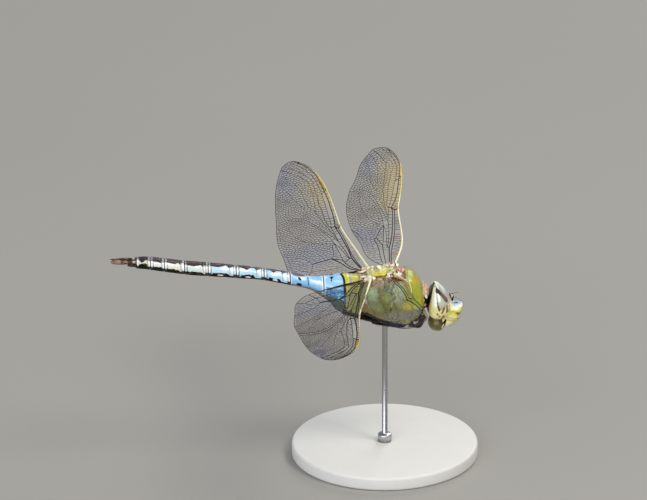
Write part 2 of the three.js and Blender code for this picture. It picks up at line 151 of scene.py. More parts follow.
def smooth_line(points: Sequence[Point], per_span: int = 12) -> Array:
    """Centripetal Catmull-Rom curve through the points, open at both ends.

    Args:
        points: two or more points of any dimension.
        per_span: samples between one point and the next.

    Returns:
        The samples, in order, from the first point to the last.
    """
    p = np.array(points, float)
    ends = np.vstack([2 * p[0] - p[1], p, 2 * p[-1] - p[-2]])
    samples = []
    for i in range(len(p) - 1):
        a, b, c, d = ends[i : i + 4]
        gaps = [max(np.linalg.norm(v - u), 1e-6) ** 0.5 for u, v in ((a, b), (b, c), (c, d))]
        before = ((b - a) / gaps[0] - (c - a) / (gaps[0] + gaps[1]) + (c - b) / gaps[1]) * gaps[1]
        after = ((c - b) / gaps[1] - (d - b) / (gaps[1] + gaps[2]) + (d - c) / gaps[2]) * gaps[1]
        t = np.linspace(0, 1, per_span, endpoint=False)[:, None]
        hold = (2 * t**3 - 3 * t**2 + 1) * b + (3 * t**2 - 2 * t**3) * c
        samples.append(hold + (t**3 - 2 * t**2 + t) * before + (t**3 - t**2) * after)
    return np.vstack([*samples, p[-1:]])


def spaced_line(line: Array, gap: float) -> Array:
    """The same line with samples an even gap apart."""
    reach = np.concatenate([[0], np.cumsum(np.linalg.norm(np.diff(line, axis=0), axis=1))])
    count = max(int(round(reach[-1] / gap)), 1)
    places = np.linspace(0, reach[-1], count + 1)
    return np.stack([np.interp(places, reach, column) for column in line.T], axis=1)


def line_distance(points: Array, line: Array) -> Array:
    """Shortest distance from each point of the plane to a broken line."""
    nearest = np.full(points.shape[:-1], np.inf)
    for a, b in zip(line[:-1], line[1:]):
        way = b - a
        t = np.clip((points - a) @ way / max(way @ way, 1e-12), 0, 1)
        gap = np.linalg.norm(points - a - t[..., None] * way, axis=-1)
        nearest = np.minimum(nearest, gap)
    return nearest


def mottle(points: Array, size: float, seed: int, waves: int = 28) -> Array:
    """Smooth random field, mostly between -1 and 1, with lumps about size across."""
    rng = np.random.default_rng(seed)
    heading = rng.normal(size=(points.shape[-1], waves))
    heading *= rng.uniform(3.5, 9.0, waves) / (size * np.linalg.norm(heading, axis=0))
    phase = rng.uniform(0, 2 * math.pi, waves)
    return np.sin(points @ heading + phase).sum(-1) / math.sqrt(waves)


def tint(under: Array, mask: Array, over: Array | str) -> Array:
    """Colours with others, or one given as a hex code, laid over them where the mask is 1."""
    above = tone(over) if isinstance(over, str) else over
    return under + (above - under) * np.clip(mask, 0, 1)[..., None]


def painted(rings: Array, code: str) -> Array:
    """One colour for every point, given as a hex code."""
    return np.zeros(rings.shape) + tone(code)


# ---------------------------------------------------------------- meshes


@dataclass
class Shape:
    """A mesh in the making: points in millimetres, faces, and colours or values per point."""

    points: Array
    faces: list[tuple[int, ...]]
    colours: Array | None = None
    values: dict[str, Array] = field(default_factory=dict)

    def joined(self, *others: "Shape") -> "Shape":
        """This shape and others as one, with their colours kept."""
        shapes = [self, *others]
        starts = np.cumsum([0] + [len(s.points) for s in shapes])
        faces = [
            tuple(int(v + start) for v in f)
            for s, start in zip(shapes, starts)
            for f in s.faces
        ]
        colours = None
        if self.colours is not None:
            colours = np.vstack([s.colours for s in shapes])
        values = {key: np.concatenate([s.values[key] for s in shapes]) for key in self.values}
        return Shape(np.vstack([s.points for s in shapes]), faces, colours, values)


def lofted(rings: Array, colours: Array | None = None) -> Shape:
    """Closed skin over rings of equally many points, with a fan over each end.

    Args:
        rings: array of rings by points by 3.
        colours: array of the same size with a colour for each point, if it has any.

    Returns:
        The shape, with its faces pointing out.
    """
    count, around = rings.shape[:2]
    points = np.vstack([rings.reshape(-1, 3), rings[0].mean(0), rings[-1].mean(0)])
    row, col = np.meshgrid(np.arange(count - 1), np.arange(around), indexing="ij")
    following = (col + 1) % around
    corners = [row * around + col, row * around + following]
    corners += [(row + 1) * around + following, (row + 1) * around + col]
    quads = np.stack(corners, axis=-1).reshape(-1, 4)
    first, last, tail = count * around, count * around + 1, (count - 1) * around
    spokes = np.arange(around)
    beyond = (spokes + 1) % around
    front = np.stack([np.full(around, first), beyond, spokes], axis=1)
    rear = np.stack([np.full(around, last), tail + spokes, tail + beyond], axis=1)
    a, b, c = (points[quads[:, k]] for k in range(3))
    outward = np.einsum("ij,ij->i", np.cross(b - a, c - a), a - points[:-2].mean(0)).sum() > 0
    order = slice(None) if outward else slice(None, None, -1)
    faces = [tuple(f[order]) for group in (quads, front, rear) for f in group.tolist()]
    shades = None
    if colours is not None:
        flat = colours.reshape(-1, colours.shape[-1])
        shades = np.vstack([flat, colours[0].mean(0), colours[-1].mean(0)])
    return Shape(points, faces, shades)


def ball(shape: Callable[[Array], Array], rings: int, around: int) -> Array:
    """Rings of a closed ball, from its foot to its crown, moved by a function.

    Args:
        shape: turns unit directions into points.
        rings: rings between the two poles.
        around: points on each ring.

    Returns:
        The rings, ready to be lofted.
    """
    up = np.linspace(-math.pi / 2, math.pi / 2, rings + 2)[1:-1, None]
    turn = np.linspace(0, 2 * math.pi, around, endpoint=False)[None, :]
    unit = np.stack(
        [np.cos(up) * np.cos(turn), np.cos(up) * np.sin(turn), np.sin(up) + 0 * turn], axis=-1
    )
    return shape(unit)


def ellipsoid(centre: Point, half: Point, rings: int = 20, around: int = 32) -> Array:
    """Rings of an ellipsoid."""
    return ball(lambda unit: np.array(centre) + unit * np.array(half), rings, around)


def surface_normals(rings: Array) -> Array:
    """Unit normals of a grid of rings, pointing away from the middle of each ring."""
    along = np.gradient(rings, axis=0)
    wrapped = np.concatenate([rings[:, -1:], rings, rings[:, :1]], axis=1)
    across = (wrapped[:, 2:] - wrapped[:, :-2]) / 2
    normal = np.cross(along, across)
    normal /= np.linalg.norm(normal, axis=-1, keepdims=True) + 1e-12
    away = rings - rings.mean(axis=1, keepdims=True)
    return normal * np.where((normal * away).sum(-1, keepdims=True) < 0, -1, 1)


def limb(line: Array, radii: Array, sides: int = 12, flat: float = 1.0) -> Array:
    """Rings of a tube along a line, turned as little as possible from one to the next.

    Args:
        line: points along the tube.
        radii: its radius at each point.
        sides: points on each ring.
        flat: height of the section as a part of its width.

    Returns:
        The rings.
    """
    heading = np.gradient(line, axis=0)
    heading /= np.linalg.norm(heading, axis=1, keepdims=True) + 1e-12
    start = np.array([0.0, 0.0, 1.0]) if abs(heading[0, 2]) < 0.9 else np.array([0.0, 1.0, 0.0])
    turn = np.linspace(0, 2 * math.pi, sides, endpoint=False)
    rings = []
    up = start
    for place, ahead, radius in zip(line, heading, radii):
        up = up - ahead * (up @ ahead)
        up /= np.linalg.norm(up)
        across = np.cross(ahead, up)
        circle = np.cos(turn)[:, None] * across + flat * np.sin(turn)[:, None] * up
        rings.append(place + radius * circle)
    return np.array(rings)


def make_object(name: str, shape: Shape, smooth: bool = True) -> bpy.types.Object:
    """Object holding a shape, placed in the part's frame by its mesh alone.

    Args:
        name: name of the piece.
        shape: the shape, in millimetres on the body's axes.
        smooth: whether its faces are shaded as one surface.

    Returns:
        The new object, linked to the scene and at the origin.
    """
    mesh = bpy.data.meshes.new(name)
    place = (shape.points + np.array([0, 0, BODY_LIFT])) * MM
    mesh.from_pydata(place.tolist(), [], shape.faces)
    mesh.validate()
    if smooth:
        mesh.shade_smooth()
    if shape.colours is not None:
        layer = mesh.attributes.new("Tint", "FLOAT_COLOR", "POINT")
        rgba = np.ones((len(shape.points), 4), np.float32)
        rgba[:, :3] = np.clip(shape.colours[:, :3], 0, 1)
        layer.data.foreach_set("color", rgba.ravel())
    for key, values in shape.values.items():
        layer = mesh.attributes.new(key, "FLOAT", "POINT")
        layer.data.foreach_set("value", values.astype(np.float32))
    mesh.update()
    piece = bpy.data.objects.new(name, mesh)
    bpy.context.scene.collection.objects.link(piece)
    return piece


def hand_in(piece: bpy.types.Object, slot: Slot, *nodes: str) -> bpy.types.Object:
    """Hang a finished piece on the root body, hide the solids it takes the place of, and log its slot.

    Args:
        piece: the finished object.
        slot: the record's material slot.
        nodes: solids of the model that it takes the place of.

    Returns:
        The same object.
    """
    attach(piece, ROOT_BODY)
    if nodes:
        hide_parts(*nodes)
    LOG.info("%s: %d faces, %s", piece.name, len(piece.data.polygons), slot.value)
    return piece


# ---------------------------------------------------------------- node trees


@dataclass
class Tree:
    """A node tree with short ways to add nodes and join them."""

    tree: bpy.types.NodeTree

    def node(self, kind: str, inputs: dict | None = None, **settings) -> bpy.types.Node:
        """Add a node.

        Args:
            kind: the node's type.
            inputs: values or sockets for its inputs, by name or number.
            settings: the node's own properties.

        Returns:
            The new node.
        """
        node = self.tree.nodes.new(kind)
        for key, value in settings.items():
            setattr(node, key, value)
        for key, value in (inputs or {}).items():
            if isinstance(value, bpy.types.NodeSocket):
                self.tree.links.new(value, node.inputs[key])
            else:
                node.inputs[key].default_value = value
        return node

    def maths(self, operation: str, *values) -> bpy.types.NodeSocket:
        """Output of a Math node fed with the values."""
        node = self.node("ShaderNodeMath", dict(enumerate(values)), operation=operation)
        return node.outputs[0]

    def open_socket(
        self, name: str, kind: str, default: float | Point | None = None, output: bool = False
    ) -> None:
        """Add a named socket to the tree's own interface."""
        way = "OUTPUT" if output else "INPUT"
        socket = self.tree.interface.new_socket(name, in_out=way, socket_type=kind)
        if default is not None:
            socket.default_value = default


def grain_group() -> bpy.types.NodeTree:
    """Fine uneven grain of a plate: a shade round 1 and a height for its bumps."""
    tree = bpy.data.node_groups.new("Plate grain", "ShaderNodeTree")
    kit = Tree(tree)
    kit.open_socket("Size", "NodeSocketFloat", 0.0002)
    kit.open_socket("Contrast", "NodeSocketFloat", 0.2)
    kit.open_socket("Shade", "NodeSocketFloat", output=True)
    kit.open_socket("Height", "NodeSocketFloat", output=True)
    given = kit.node("NodeGroupInput")
    place = kit.node("ShaderNodeTexCoord").outputs["Object"]
    scale = kit.maths("DIVIDE", 1.0, given.outputs["Size"])
    coarse = kit.node(
        "ShaderNodeTexNoise",
        {"Vector": place, "Scale": kit.maths("MULTIPLY", scale, 0.25), "Detail": 3.0},
    )
    fine = kit.node("ShaderNodeTexNoise", {"Vector": place, "Scale": scale, "Detail": 2.0})
    pits = kit.node("ShaderNodeTexVoronoi", {"Vector": place, "Scale": scale})
    swing = kit.maths("SUBTRACT", coarse.outputs["Fac"], 0.5)
    ripple = kit.maths("SUBTRACT", fine.outputs["Fac"], 0.5)
    both = kit.maths("MULTIPLY_ADD", ripple, 0.5, swing)
    shade = kit.maths("MULTIPLY_ADD", both, given.outputs["Contrast"], 1.0)
    height = kit.maths("MULTIPLY_ADD", pits.outputs["Distance"], 0.4, fine.outputs["Fac"])
    out = kit.node("NodeGroupOutput")
    tree.links.new(shade, out.inputs["Shade"])
    tree.links.new(height, out.inputs["Height"])
    return tree


def facet_group() -> bpy.types.NodeTree:
    """Domes packed side by side, as the lenses of an eye are: a height and a shade."""
    tree = bpy.data.node_groups.new("Lens facets", "ShaderNodeTree")
    kit = Tree(tree)
    kit.open_socket("Size", "NodeSocketFloat", 0.00004)
    kit.open_socket("Shade", "NodeSocketFloat", output=True)
    kit.open_socket("Height", "NodeSocketFloat", output=True)
    given = kit.node("NodeGroupInput")
    place = kit.node("ShaderNodeTexCoord").outputs["Object"]
    scale = kit.maths("DIVIDE", 1.0, given.outputs["Size"])
    cells = kit.node("ShaderNodeTexVoronoi", {"Vector": place, "Scale": scale, "Randomness": 0.35})
    dome = kit.maths("SUBTRACT", 1.0, cells.outputs["Distance"])
    shade = kit.maths("MULTIPLY_ADD", cells.outputs["Distance"], -0.12, 1.03)
    out = kit.node("NodeGroupOutput")
    tree.links.new(dome, out.inputs["Height"])
    tree.links.new(shade, out.inputs["Shade"])
    return tree


# ---------------------------------------------------------------- finishes


@dataclass
class Finishes:
    """Materials made once and handed out by name, and the effects they share."""

    grain: bpy.types.NodeTree = field(default_factory=grain_group)
    facets: bpy.types.NodeTree = field(default_factory=facet_group)
    made: dict[str, bpy.types.Material] = field(default_factory=dict)

    def of(self, finish: "Finish") -> bpy.types.Material:
        """The material of a finish, built the first time it is asked for."""
        if finish.name not in self.made:
            material = bpy.data.materials.new(finish.name)
            material.use_nodes = True
            material.node_tree.nodes.clear()
            finish.build(Tree(material.node_tree), self)
            self.made[finish.name] = material
        return self.made[finish.name]


@dataclass(frozen=True)
class Finish:
    """What every finish has: a name, a gloss and a thin clear coat."""

    name: str
    roughness: float = 0.4
    coat: float = 0.0
    coat_roughness: float = 0.15

    def build(self, kit: Tree, shared: Finishes) -> None:
        """Fill the material's tree; each kind of finish does it in its own way.

        Args:
            kit: builder of the material's tree.
            shared: node groups that finishes have in common.
        """
        raise NotImplementedError

    def close(self, kit: Tree, inputs: dict) -> bpy.types.Node:
        """Add the shader with its plain values and join it to the output."""
        plain = {
            "Roughness": self.roughness,
            "Coat Weight": self.coat,
            "Coat Roughness": self.coat_roughness,
        }
        shader = kit.node("ShaderNodeBsdfPrincipled", {**plain, **inputs})
        kit.node("ShaderNodeOutputMaterial", {"Surface": shader.outputs["BSDF"]})
        return shader

    def shaded(
        self, kit: Tree, code: str, shade: bpy.types.NodeSocket
    ) -> bpy.types.NodeSocket:
        """Socket of a plain colour, given as a hex code, made lighter and darker by a shade."""
        node = kit.node("ShaderNodeVectorMath", {0: tuple(tone(code))}, operation="SCALE")
        kit.tree.links.new(shade, node.inputs["Scale"])
        return node.outputs[0]

    def bumped(
        self, kit: Tree, height: bpy.types.NodeSocket, depth: float, strength: float
    ) -> bpy.types.NodeSocket:
        """Normal socket of a bump of that depth in metres."""
        node = kit.node(
            "ShaderNodeBump", {"Height": height, "Distance": depth, "Strength": strength}
        )
        return node.outputs["Normal"]


@dataclass(frozen=True)
class PlateFinish(Finish):
    """Hard outer plate: its own colours from the Tint attribute, under a fine grain."""

    size: float = 0.00012
    contrast: float = 0.35
    depth: float = 0.000012
    strength: float = 0.6
    gloss_swing: float = 0.12

    def build(self, kit: Tree, shared: Finishes) -> None:
        """Fill the material's tree.

        Args:
            kit: builder of the material's tree.
            shared: node groups that finishes have in common.
        """
        colour = kit.node("ShaderNodeAttribute", attribute_name="Tint").outputs["Color"]
        grain = kit.node("ShaderNodeGroup", node_tree=shared.grain)
        grain.inputs["Size"].default_value = self.size
        grain.inputs["Contrast"].default_value = self.contrast
        shade = kit.node("ShaderNodeVectorMath", {0: colour}, operation="SCALE")
        kit.tree.links.new(grain.outputs["Shade"], shade.inputs["Scale"])
        swing = kit.maths("SUBTRACT", grain.outputs["Height"], 0.6)
        rough = kit.maths("MULTIPLY_ADD", swing, self.gloss_swing, self.roughness)
        normal = self.bumped(kit, grain.outputs["Height"], self.depth, self.strength)
        grey = kit.node("ShaderNodeRGBToBW", {"Color": colour}).outputs["Val"]
        light = kit.node("ShaderNodeMapRange", {"Value": grey, 1: 0.005, 2: 0.12, 3: 0.25, 4: 1.0})
        shine = kit.maths("MULTIPLY", light.outputs[0], 0.5)
        coat = kit.maths("MULTIPLY", light.outputs[0], self.coat)
        finished = {"Base Color": shade.outputs[0], "Roughness": rough, "Normal": normal}
        self.close(kit, {**finished, "Specular IOR Level": shine, "Coat Weight": coat})


@dataclass(frozen=True)
class EyeFinish(Finish):
    """Glassy shell over packed lenses, with the bands of colour from the Tint attribute."""

    size: float = 0.000045
    depth: float = 0.000006

    def build(self, kit: Tree, shared: Finishes) -> None:
        """Fill the material's tree.

        Args:
            kit: builder of the material's tree.
            shared: node groups that finishes have in common.
        """
        colour = kit.node("ShaderNodeAttribute", attribute_name="Tint").outputs["Color"]
        facets = kit.node("ShaderNodeGroup", node_tree=shared.facets)
        facets.inputs["Size"].default_value = self.size
        shade = kit.node("ShaderNodeVectorMath", {0: colour}, operation="SCALE")
        kit.tree.links.new(facets.outputs["Shade"], shade.inputs["Scale"])
        normal = self.bumped(kit, facets.outputs["Height"], self.depth, 0.35)
        self.close(kit, {"Base Color": shade.outputs[0], "Normal": normal})


@dataclass(frozen=True)
class FilmFinish(Finish):
    """Clear wing membrane: colour and density from attributes, faintly wavy and glossy."""

    wave: float = 0.0009
    depth: float = 0.00001
    shine: float = 0.16

    def build(self, kit: Tree, shared: Finishes) -> None:
        """Fill the material's tree.

        Args:
            kit: builder of the material's tree.
            shared: node groups that finishes have in common.
        """
        colour = kit.node("ShaderNodeAttribute", attribute_name="Tint").outputs["Color"]
        density = kit.node("ShaderNodeAttribute", attribute_name="Density").outputs["Fac"]
        place = kit.node("ShaderNodeTexCoord").outputs["Object"]
        cells = kit.node("ShaderNodeTexNoise", {"Vector": place, "Scale": 1 / self.wave})
        patch = kit.maths("MULTIPLY_ADD", cells.outputs["Fac"], 0.5, 0.75)
        alpha = kit.maths("MULTIPLY", density, patch)
        normal = self.bumped(kit, cells.outputs["Fac"], self.depth, 0.5)
        plain = {"Base Color": colour, "Alpha": alpha, "Specular IOR Level": self.shine}
        self.close(kit, {**plain, "Normal": normal})


@dataclass(frozen=True)
class PaintFinish(Finish):
    """Smooth stand paint with a faint orange-peel and soft unevenness."""

    colour: str = "d9d8d4"
    size: float = 0.0006

    def build(self, kit: Tree, shared: Finishes) -> None:
        """Fill the material's tree.

        Args:
            kit: builder of the material's tree.
            shared: node groups that finishes have in common.
        """
        grain = kit.node("ShaderNodeGroup", node_tree=shared.grain)
        grain.inputs["Size"].default_value = self.size
        grain.inputs["Contrast"].default_value = 0.05
        shade = self.shaded(kit, self.colour, grain.outputs["Shade"])
        normal = self.bumped(kit, grain.outputs["Height"], 0.00002, 0.25)
        self.close(kit, {"Base Color": shade, "Normal": normal})


@dataclass(frozen=True)
class SteelFinish(Finish):
    """Brushed steel, its fine lines running round the rod."""

    colour: str = "b9babb"
    line: float = 0.00008

    def build(self, kit: Tree, shared: Finishes) -> None:
        """Fill the material's tree.

        Args:
            kit: builder of the material's tree.
            shared: node groups that finishes have in common.
        """
        place = kit.node("ShaderNodeTexCoord").outputs["Object"]
        drawn = kit.node("ShaderNodeMapping", {"Vector": place, "Scale": (0.05, 0.05, 1.0)})
        lines = kit.node(
            "ShaderNodeTexNoise", {"Vector": drawn.outputs[0], "Scale": 1 / self.line, "Detail": 3.0}
        )
        swing = kit.maths("SUBTRACT", lines.outputs["Fac"], 0.5)
        rough = kit.maths("MULTIPLY_ADD", swing, 0.3, self.roughness)
        shade = self.shaded(kit, self.colour, kit.maths("MULTIPLY_ADD", swing, 0.2, 1.0))
        normal = self.bumped(kit, lines.outputs["Fac"], 0.00001, 0.4)
        finished = {"Base Color": shade, "Roughness": rough, "Normal": normal}
        self.close(kit, {**finished, "Metallic": 1.0})


@dataclass(frozen=True)
class FloorFinish(Finish):
    """Pale matt floor with a barely seen unevenness."""

    colour: str = "9c9a95"

    def build(self, kit: Tree, shared: Finishes) -> None:
        """Fill the material's tree.

        Args:
            kit: builder of the material's tree.
            shared: node groups that finishes have in common.
        """
        place = kit.node("ShaderNodeTexCoord").outputs["Object"]
        cloud = kit.node("ShaderNodeTexNoise", {"Vector": place, "Scale": 9.0, "Detail": 1.0})
        swing = kit.maths("SUBTRACT", cloud.outputs["Fac"], 0.5)
        shade = self.shaded(kit, self.colour, kit.maths("MULTIPLY_ADD", swing, 0.06, 1.0))
        self.close(kit, {"Base Color": shade})


BODY_PLATE = PlateFinish("body plate", roughness=0.34, coat=0.25)
FACE_PLATE = PlateFinish("face plate", roughness=0.3, coat=0.35, size=0.00009, contrast=0.2)
DARK_PLATE = PlateFinish("dark plate", roughness=0.28, coat=0.4, size=0.00008)
LEG_PLATE = PlateFinish("leg plate", roughness=0.42, coat=0.12, size=0.00006, contrast=0.25)
VEIN_PLATE = PlateFinish(
    "vein", roughness=0.35, size=0.0001, contrast=0.3, depth=0.000004, strength=0.3
)
HAIR = PlateFinish("hair", roughness=0.5, size=0.0001, contrast=0.2, depth=0.000002)
EYE_SHELL = EyeFinish("eye shell", roughness=0.22, coat=0.8, coat_roughness=0.06)
MEMBRANE = FilmFinish("wing membrane", roughness=0.36)
STAND_PAINT = PaintFinish("stand paint", roughness=0.55)
STAND_STEEL = SteelFinish("stand steel", roughness=0.3)
FLOOR_PAINT = FloorFinish("floor", roughness=0.9)
FINISHES = Finishes()


def dress(piece: bpy.types.Object, finish: Finish) -> bpy.types.Object:
    """Give a piece one finish all over."""
    piece.data.materials.clear()
    piece.data.materials.append(FINISHES.of(finish))
    return piece


# ---------------------------------------------------------------- repeated things


def set_inputs(modifier: bpy.types.Modifier, values: dict) -> None:
    """Set a Geometry Nodes modifier's inputs, given by their shown names."""
    for item in modifier.node_group.interface.items_tree:
        if getattr(item, "in_out", "") == "INPUT" and item.name in values:
            modifier[item.identifier] = values[item.name]


def realised(
    name: str, source: bpy.types.Mesh, tree: bpy.types.NodeTree, inputs: dict
) -> bpy.types.Object:
    """Run a Geometry Nodes tree on a mesh and keep the result as a plain object.

    Args:
        name: name of the new piece.
        source: the mesh that the tree starts from.
        tree: the node tree.
        inputs: values of the tree's inputs, by name.

    Returns:
        The new object, with no modifier.
    """
    carrier = bpy.data.objects.new(f"{name}.source", source)
    bpy.context.scene.collection.objects.link(carrier)
    modifier = carrier.modifiers.new("grow", "NODES")
    modifier.node_group = tree
    set_inputs(modifier, inputs)
    graph = bpy.context.evaluated_depsgraph_get()
    grown = bpy.data.meshes.new_from_object(carrier.evaluated_get(graph), depsgraph=graph)
    carrier.modifiers.remove(modifier)
    bpy.data.objects.remove(carrier)
    grown.name = name
    piece = bpy.data.objects.new(name, grown)
    bpy.context.scene.collection.objects.link(piece)
    return piece


def vein_tree() -> bpy.types.NodeTree:
    """Turn the edges of a mesh into tubes as thick as its Thickness attribute says."""
    tree = bpy.data.node_groups.new("Vein tubes", "GeometryNodeTree")
    kit = Tree(tree)
    kit.open_socket("Geometry", "NodeSocketGeometry")
    kit.open_socket("Sides", "NodeSocketInt", 4)
    kit.open_socket("Finish", "NodeSocketMaterial")
    kit.open_socket("Geometry", "NodeSocketGeometry", output=True)
    given = kit.node("NodeGroupInput")
    thick = kit.node("GeometryNodeInputNamedAttribute", {"Name": "Thickness"})
    curve = kit.node("GeometryNodeMeshToCurve", {"Mesh": given.outputs["Geometry"]})
    ring = kit.node(
        "GeometryNodeCurvePrimitiveCircle",
        {"Resolution": given.outputs["Sides"], "Radius": 1.0},
        mode="RADIUS",
    )
    tube = kit.node(
        "GeometryNodeCurveToMesh",
        {
            "Curve": curve.outputs["Curve"],
            "Profile Curve": ring.outputs["Curve"],
            "Scale": thick.outputs["Attribute"],
            "Fill Caps": True,
        },
    )
    soft = kit.node("GeometryNodeSetShadeSmooth", {"Geometry": tube.outputs["Mesh"]})
    whole = kit.node("GeometryNodeRealizeInstances", {"Geometry": soft.outputs["Geometry"]})
    dressed = kit.node(
        "GeometryNodeSetMaterial",
        {"Geometry": whole.outputs["Geometry"], "Material": given.outputs["Finish"]},
    )
    kit.node("NodeGroupOutput", {"Geometry": dressed.outputs["Geometry"]})
    return tree


def bristle_tree() -> bpy.types.NodeTree:
    """Stand a slender bent cone on each point of a mesh.

    The points carry Facing, the way a bristle points, Length, Width and Place, which is where
    its root lies on an unwrap of the skin; each bristle gets a small patch there.
    """
    tree = bpy.data.node_groups.new("Bristles", "GeometryNodeTree")
    kit = Tree(tree)
    kit.open_socket("Geometry", "NodeSocketGeometry")
    kit.open_socket("Sides", "NodeSocketInt", 4)
    kit.open_socket("Bend", "NodeSocketFloat", 2.0)
    kit.open_socket("Patch", "NodeSocketFloat", 0.003)
    kit.open_socket("Seed", "NodeSocketInt", 1)
    kit.open_socket("Finish", "NodeSocketMaterial")
    kit.open_socket("Geometry", "NodeSocketGeometry", output=True)
    given = kit.node("NodeGroupInput")

    def read(name: str, kind: str = "FLOAT") -> bpy.types.NodeSocket:
        """Named attribute of the points or of the mesh."""
        node = kit.node("GeometryNodeInputNamedAttribute", {"Name": name}, data_type=kind)
        return node.outputs["Attribute"]

    cone = kit.node(
        "GeometryNodeMeshCone",
        {
            "Vertices": given.outputs["Sides"],
            "Side Segments": 3,
            "Radius Top": 0.08,
            "Radius Bottom": 1.0,
            "Depth": 1.0,
        },
        fill_type="TRIANGLE_FAN",
    )
    spot = kit.node("GeometryNodeInputPosition").outputs[0]
    parts = kit.node("ShaderNodeSeparateXYZ", {0: spot})
    curl = kit.maths("POWER", parts.outputs["Z"], 2.0)
    sway = kit.node("ShaderNodeCombineXYZ", {"X": kit.maths("MULTIPLY", curl, given.outputs["Bend"])})
    bent = kit.node(
        "GeometryNodeSetPosition", {"Geometry": cone.outputs["Mesh"], "Offset": sway.outputs[0]}
    )
    kept = kit.node(
        "GeometryNodeStoreNamedAttribute",
        {"Geometry": bent.outputs["Geometry"], "Name": "patch_spot", "Value": spot},
        data_type="FLOAT_VECTOR",
        domain="POINT",
    )
    aim = kit.node(
        "FunctionNodeAlignRotationToVector", {"Vector": read("Facing", "FLOAT_VECTOR")}, axis="Z"
    )
    luck = kit.node(
        "FunctionNodeRandomValue",
        {2: 0.75, 3: 1.2, "Seed": given.outputs["Seed"]},
        data_type="FLOAT",
    )
    length = kit.maths("MULTIPLY", read("Length"), luck.outputs[1])
    size = kit.node("ShaderNodeCombineXYZ", {"X": read("Width"), "Y": read("Width"), "Z": length})
    grown = kit.node(
        "GeometryNodeInstanceOnPoints",
        {
            "Points": given.outputs["Geometry"],
            "Instance": kept.outputs["Geometry"],
            "Rotation": aim.outputs["Rotation"],
            "Scale": size.outputs[0],
        },
    )
    whole = kit.node("GeometryNodeRealizeInstances", {"Geometry": grown.outputs["Instances"]})
    local = kit.node(
        "ShaderNodeVectorMath", {0: read("patch_spot", "FLOAT_VECTOR")}, operation="SCALE"
    )
    kit.tree.links.new(given.outputs["Patch"], local.inputs["Scale"])
    spread = kit.node(
        "ShaderNodeVectorMath",
        {0: read("Place", "FLOAT_VECTOR"), 1: local.outputs[0]},
        operation="ADD",
    )
    mapped = kit.node(
        "GeometryNodeStoreNamedAttribute",
        {"Geometry": whole.outputs["Geometry"], "Name": "OFBake", "Value": spread.outputs[0]},
        data_type="FLOAT2",
        domain="CORNER",
    )
    dressed = kit.node(
        "GeometryNodeSetMaterial",
        {"Geometry": mapped.outputs["Geometry"], "Material": given.outputs["Finish"]},
    )
    kit.node("NodeGroupOutput", {"Geometry": dressed.outputs["Geometry"]})
    return tree


VEIN_TREE = vein_tree()
BRISTLE_TREE = bristle_tree()


@dataclass
class Bristles:
    """Bristles, spines or hairs to be grown as one piece."""

    name: str
    roots: Array
    facing: Array
    length: Array
    width: float
    colour: Array
    places: Array | None = None
    sides: int = 4
    bend: float = 2.0
    seed: int = 1

    def build(self, finish: Finish) -> bpy.types.Object:
        """Grow them with the bristle tree.

        Args:
            finish: what they are made of.

        Returns:
            The piece.
        """
        source = bpy.data.meshes.new(f"{self.name}.roots")
        spots = (self.roots + np.array([0, 0, BODY_LIFT])) * MM
        source.from_pydata(spots.tolist(), [], [])
        count = len(spots)
        places = np.zeros((count, 3))
        if self.places is not None:
            places[:, :2] = self.places
        numbers = {"Length": self.length * MM, "Width": np.full(count, self.width * MM)}
        for key, values in numbers.items():
            layer = source.attributes.new(key, "FLOAT", "POINT")
            layer.data.foreach_set("value", np.broadcast_to(values, count).astype(np.float32))
        for key, vectors in {"Facing": self.facing, "Place": places}.items():
            layer = source.attributes.new(key, "FLOAT_VECTOR", "POINT")
            layer.data.foreach_set("vector", vectors.astype(np.float32).ravel())
        layer = source.attributes.new("Tint", "FLOAT_COLOR", "POINT")
        rgba = np.ones((count, 4), np.float32)
        rgba[:, :3] = self.colour
        layer.data.foreach_set("color", rgba.ravel())
        inputs = {
            "Sides": self.sides,
            "Bend": self.bend,
            "Seed": self.seed,
            "Finish": FINISHES.of(finish),
        }
        return realised(self.name, source, BRISTLE_TREE, inputs)


# ---------------------------------------------------------------- body


@dataclass(frozen=True)
class Segment:
    """One ring of the abdomen: where it starts, its cross ridge and its markings.

    saddle gives the half width of the dark stripe on the back, and hem where the dark belly
    starts, both in degrees from the top at parts of the segment's length.
    """

    front: float
    rear: float
    ridge: float
    saddle: tuple[Point, ...]
    hem: tuple[Point, ...]
    flank: str
    crown: str = "2c1c24"


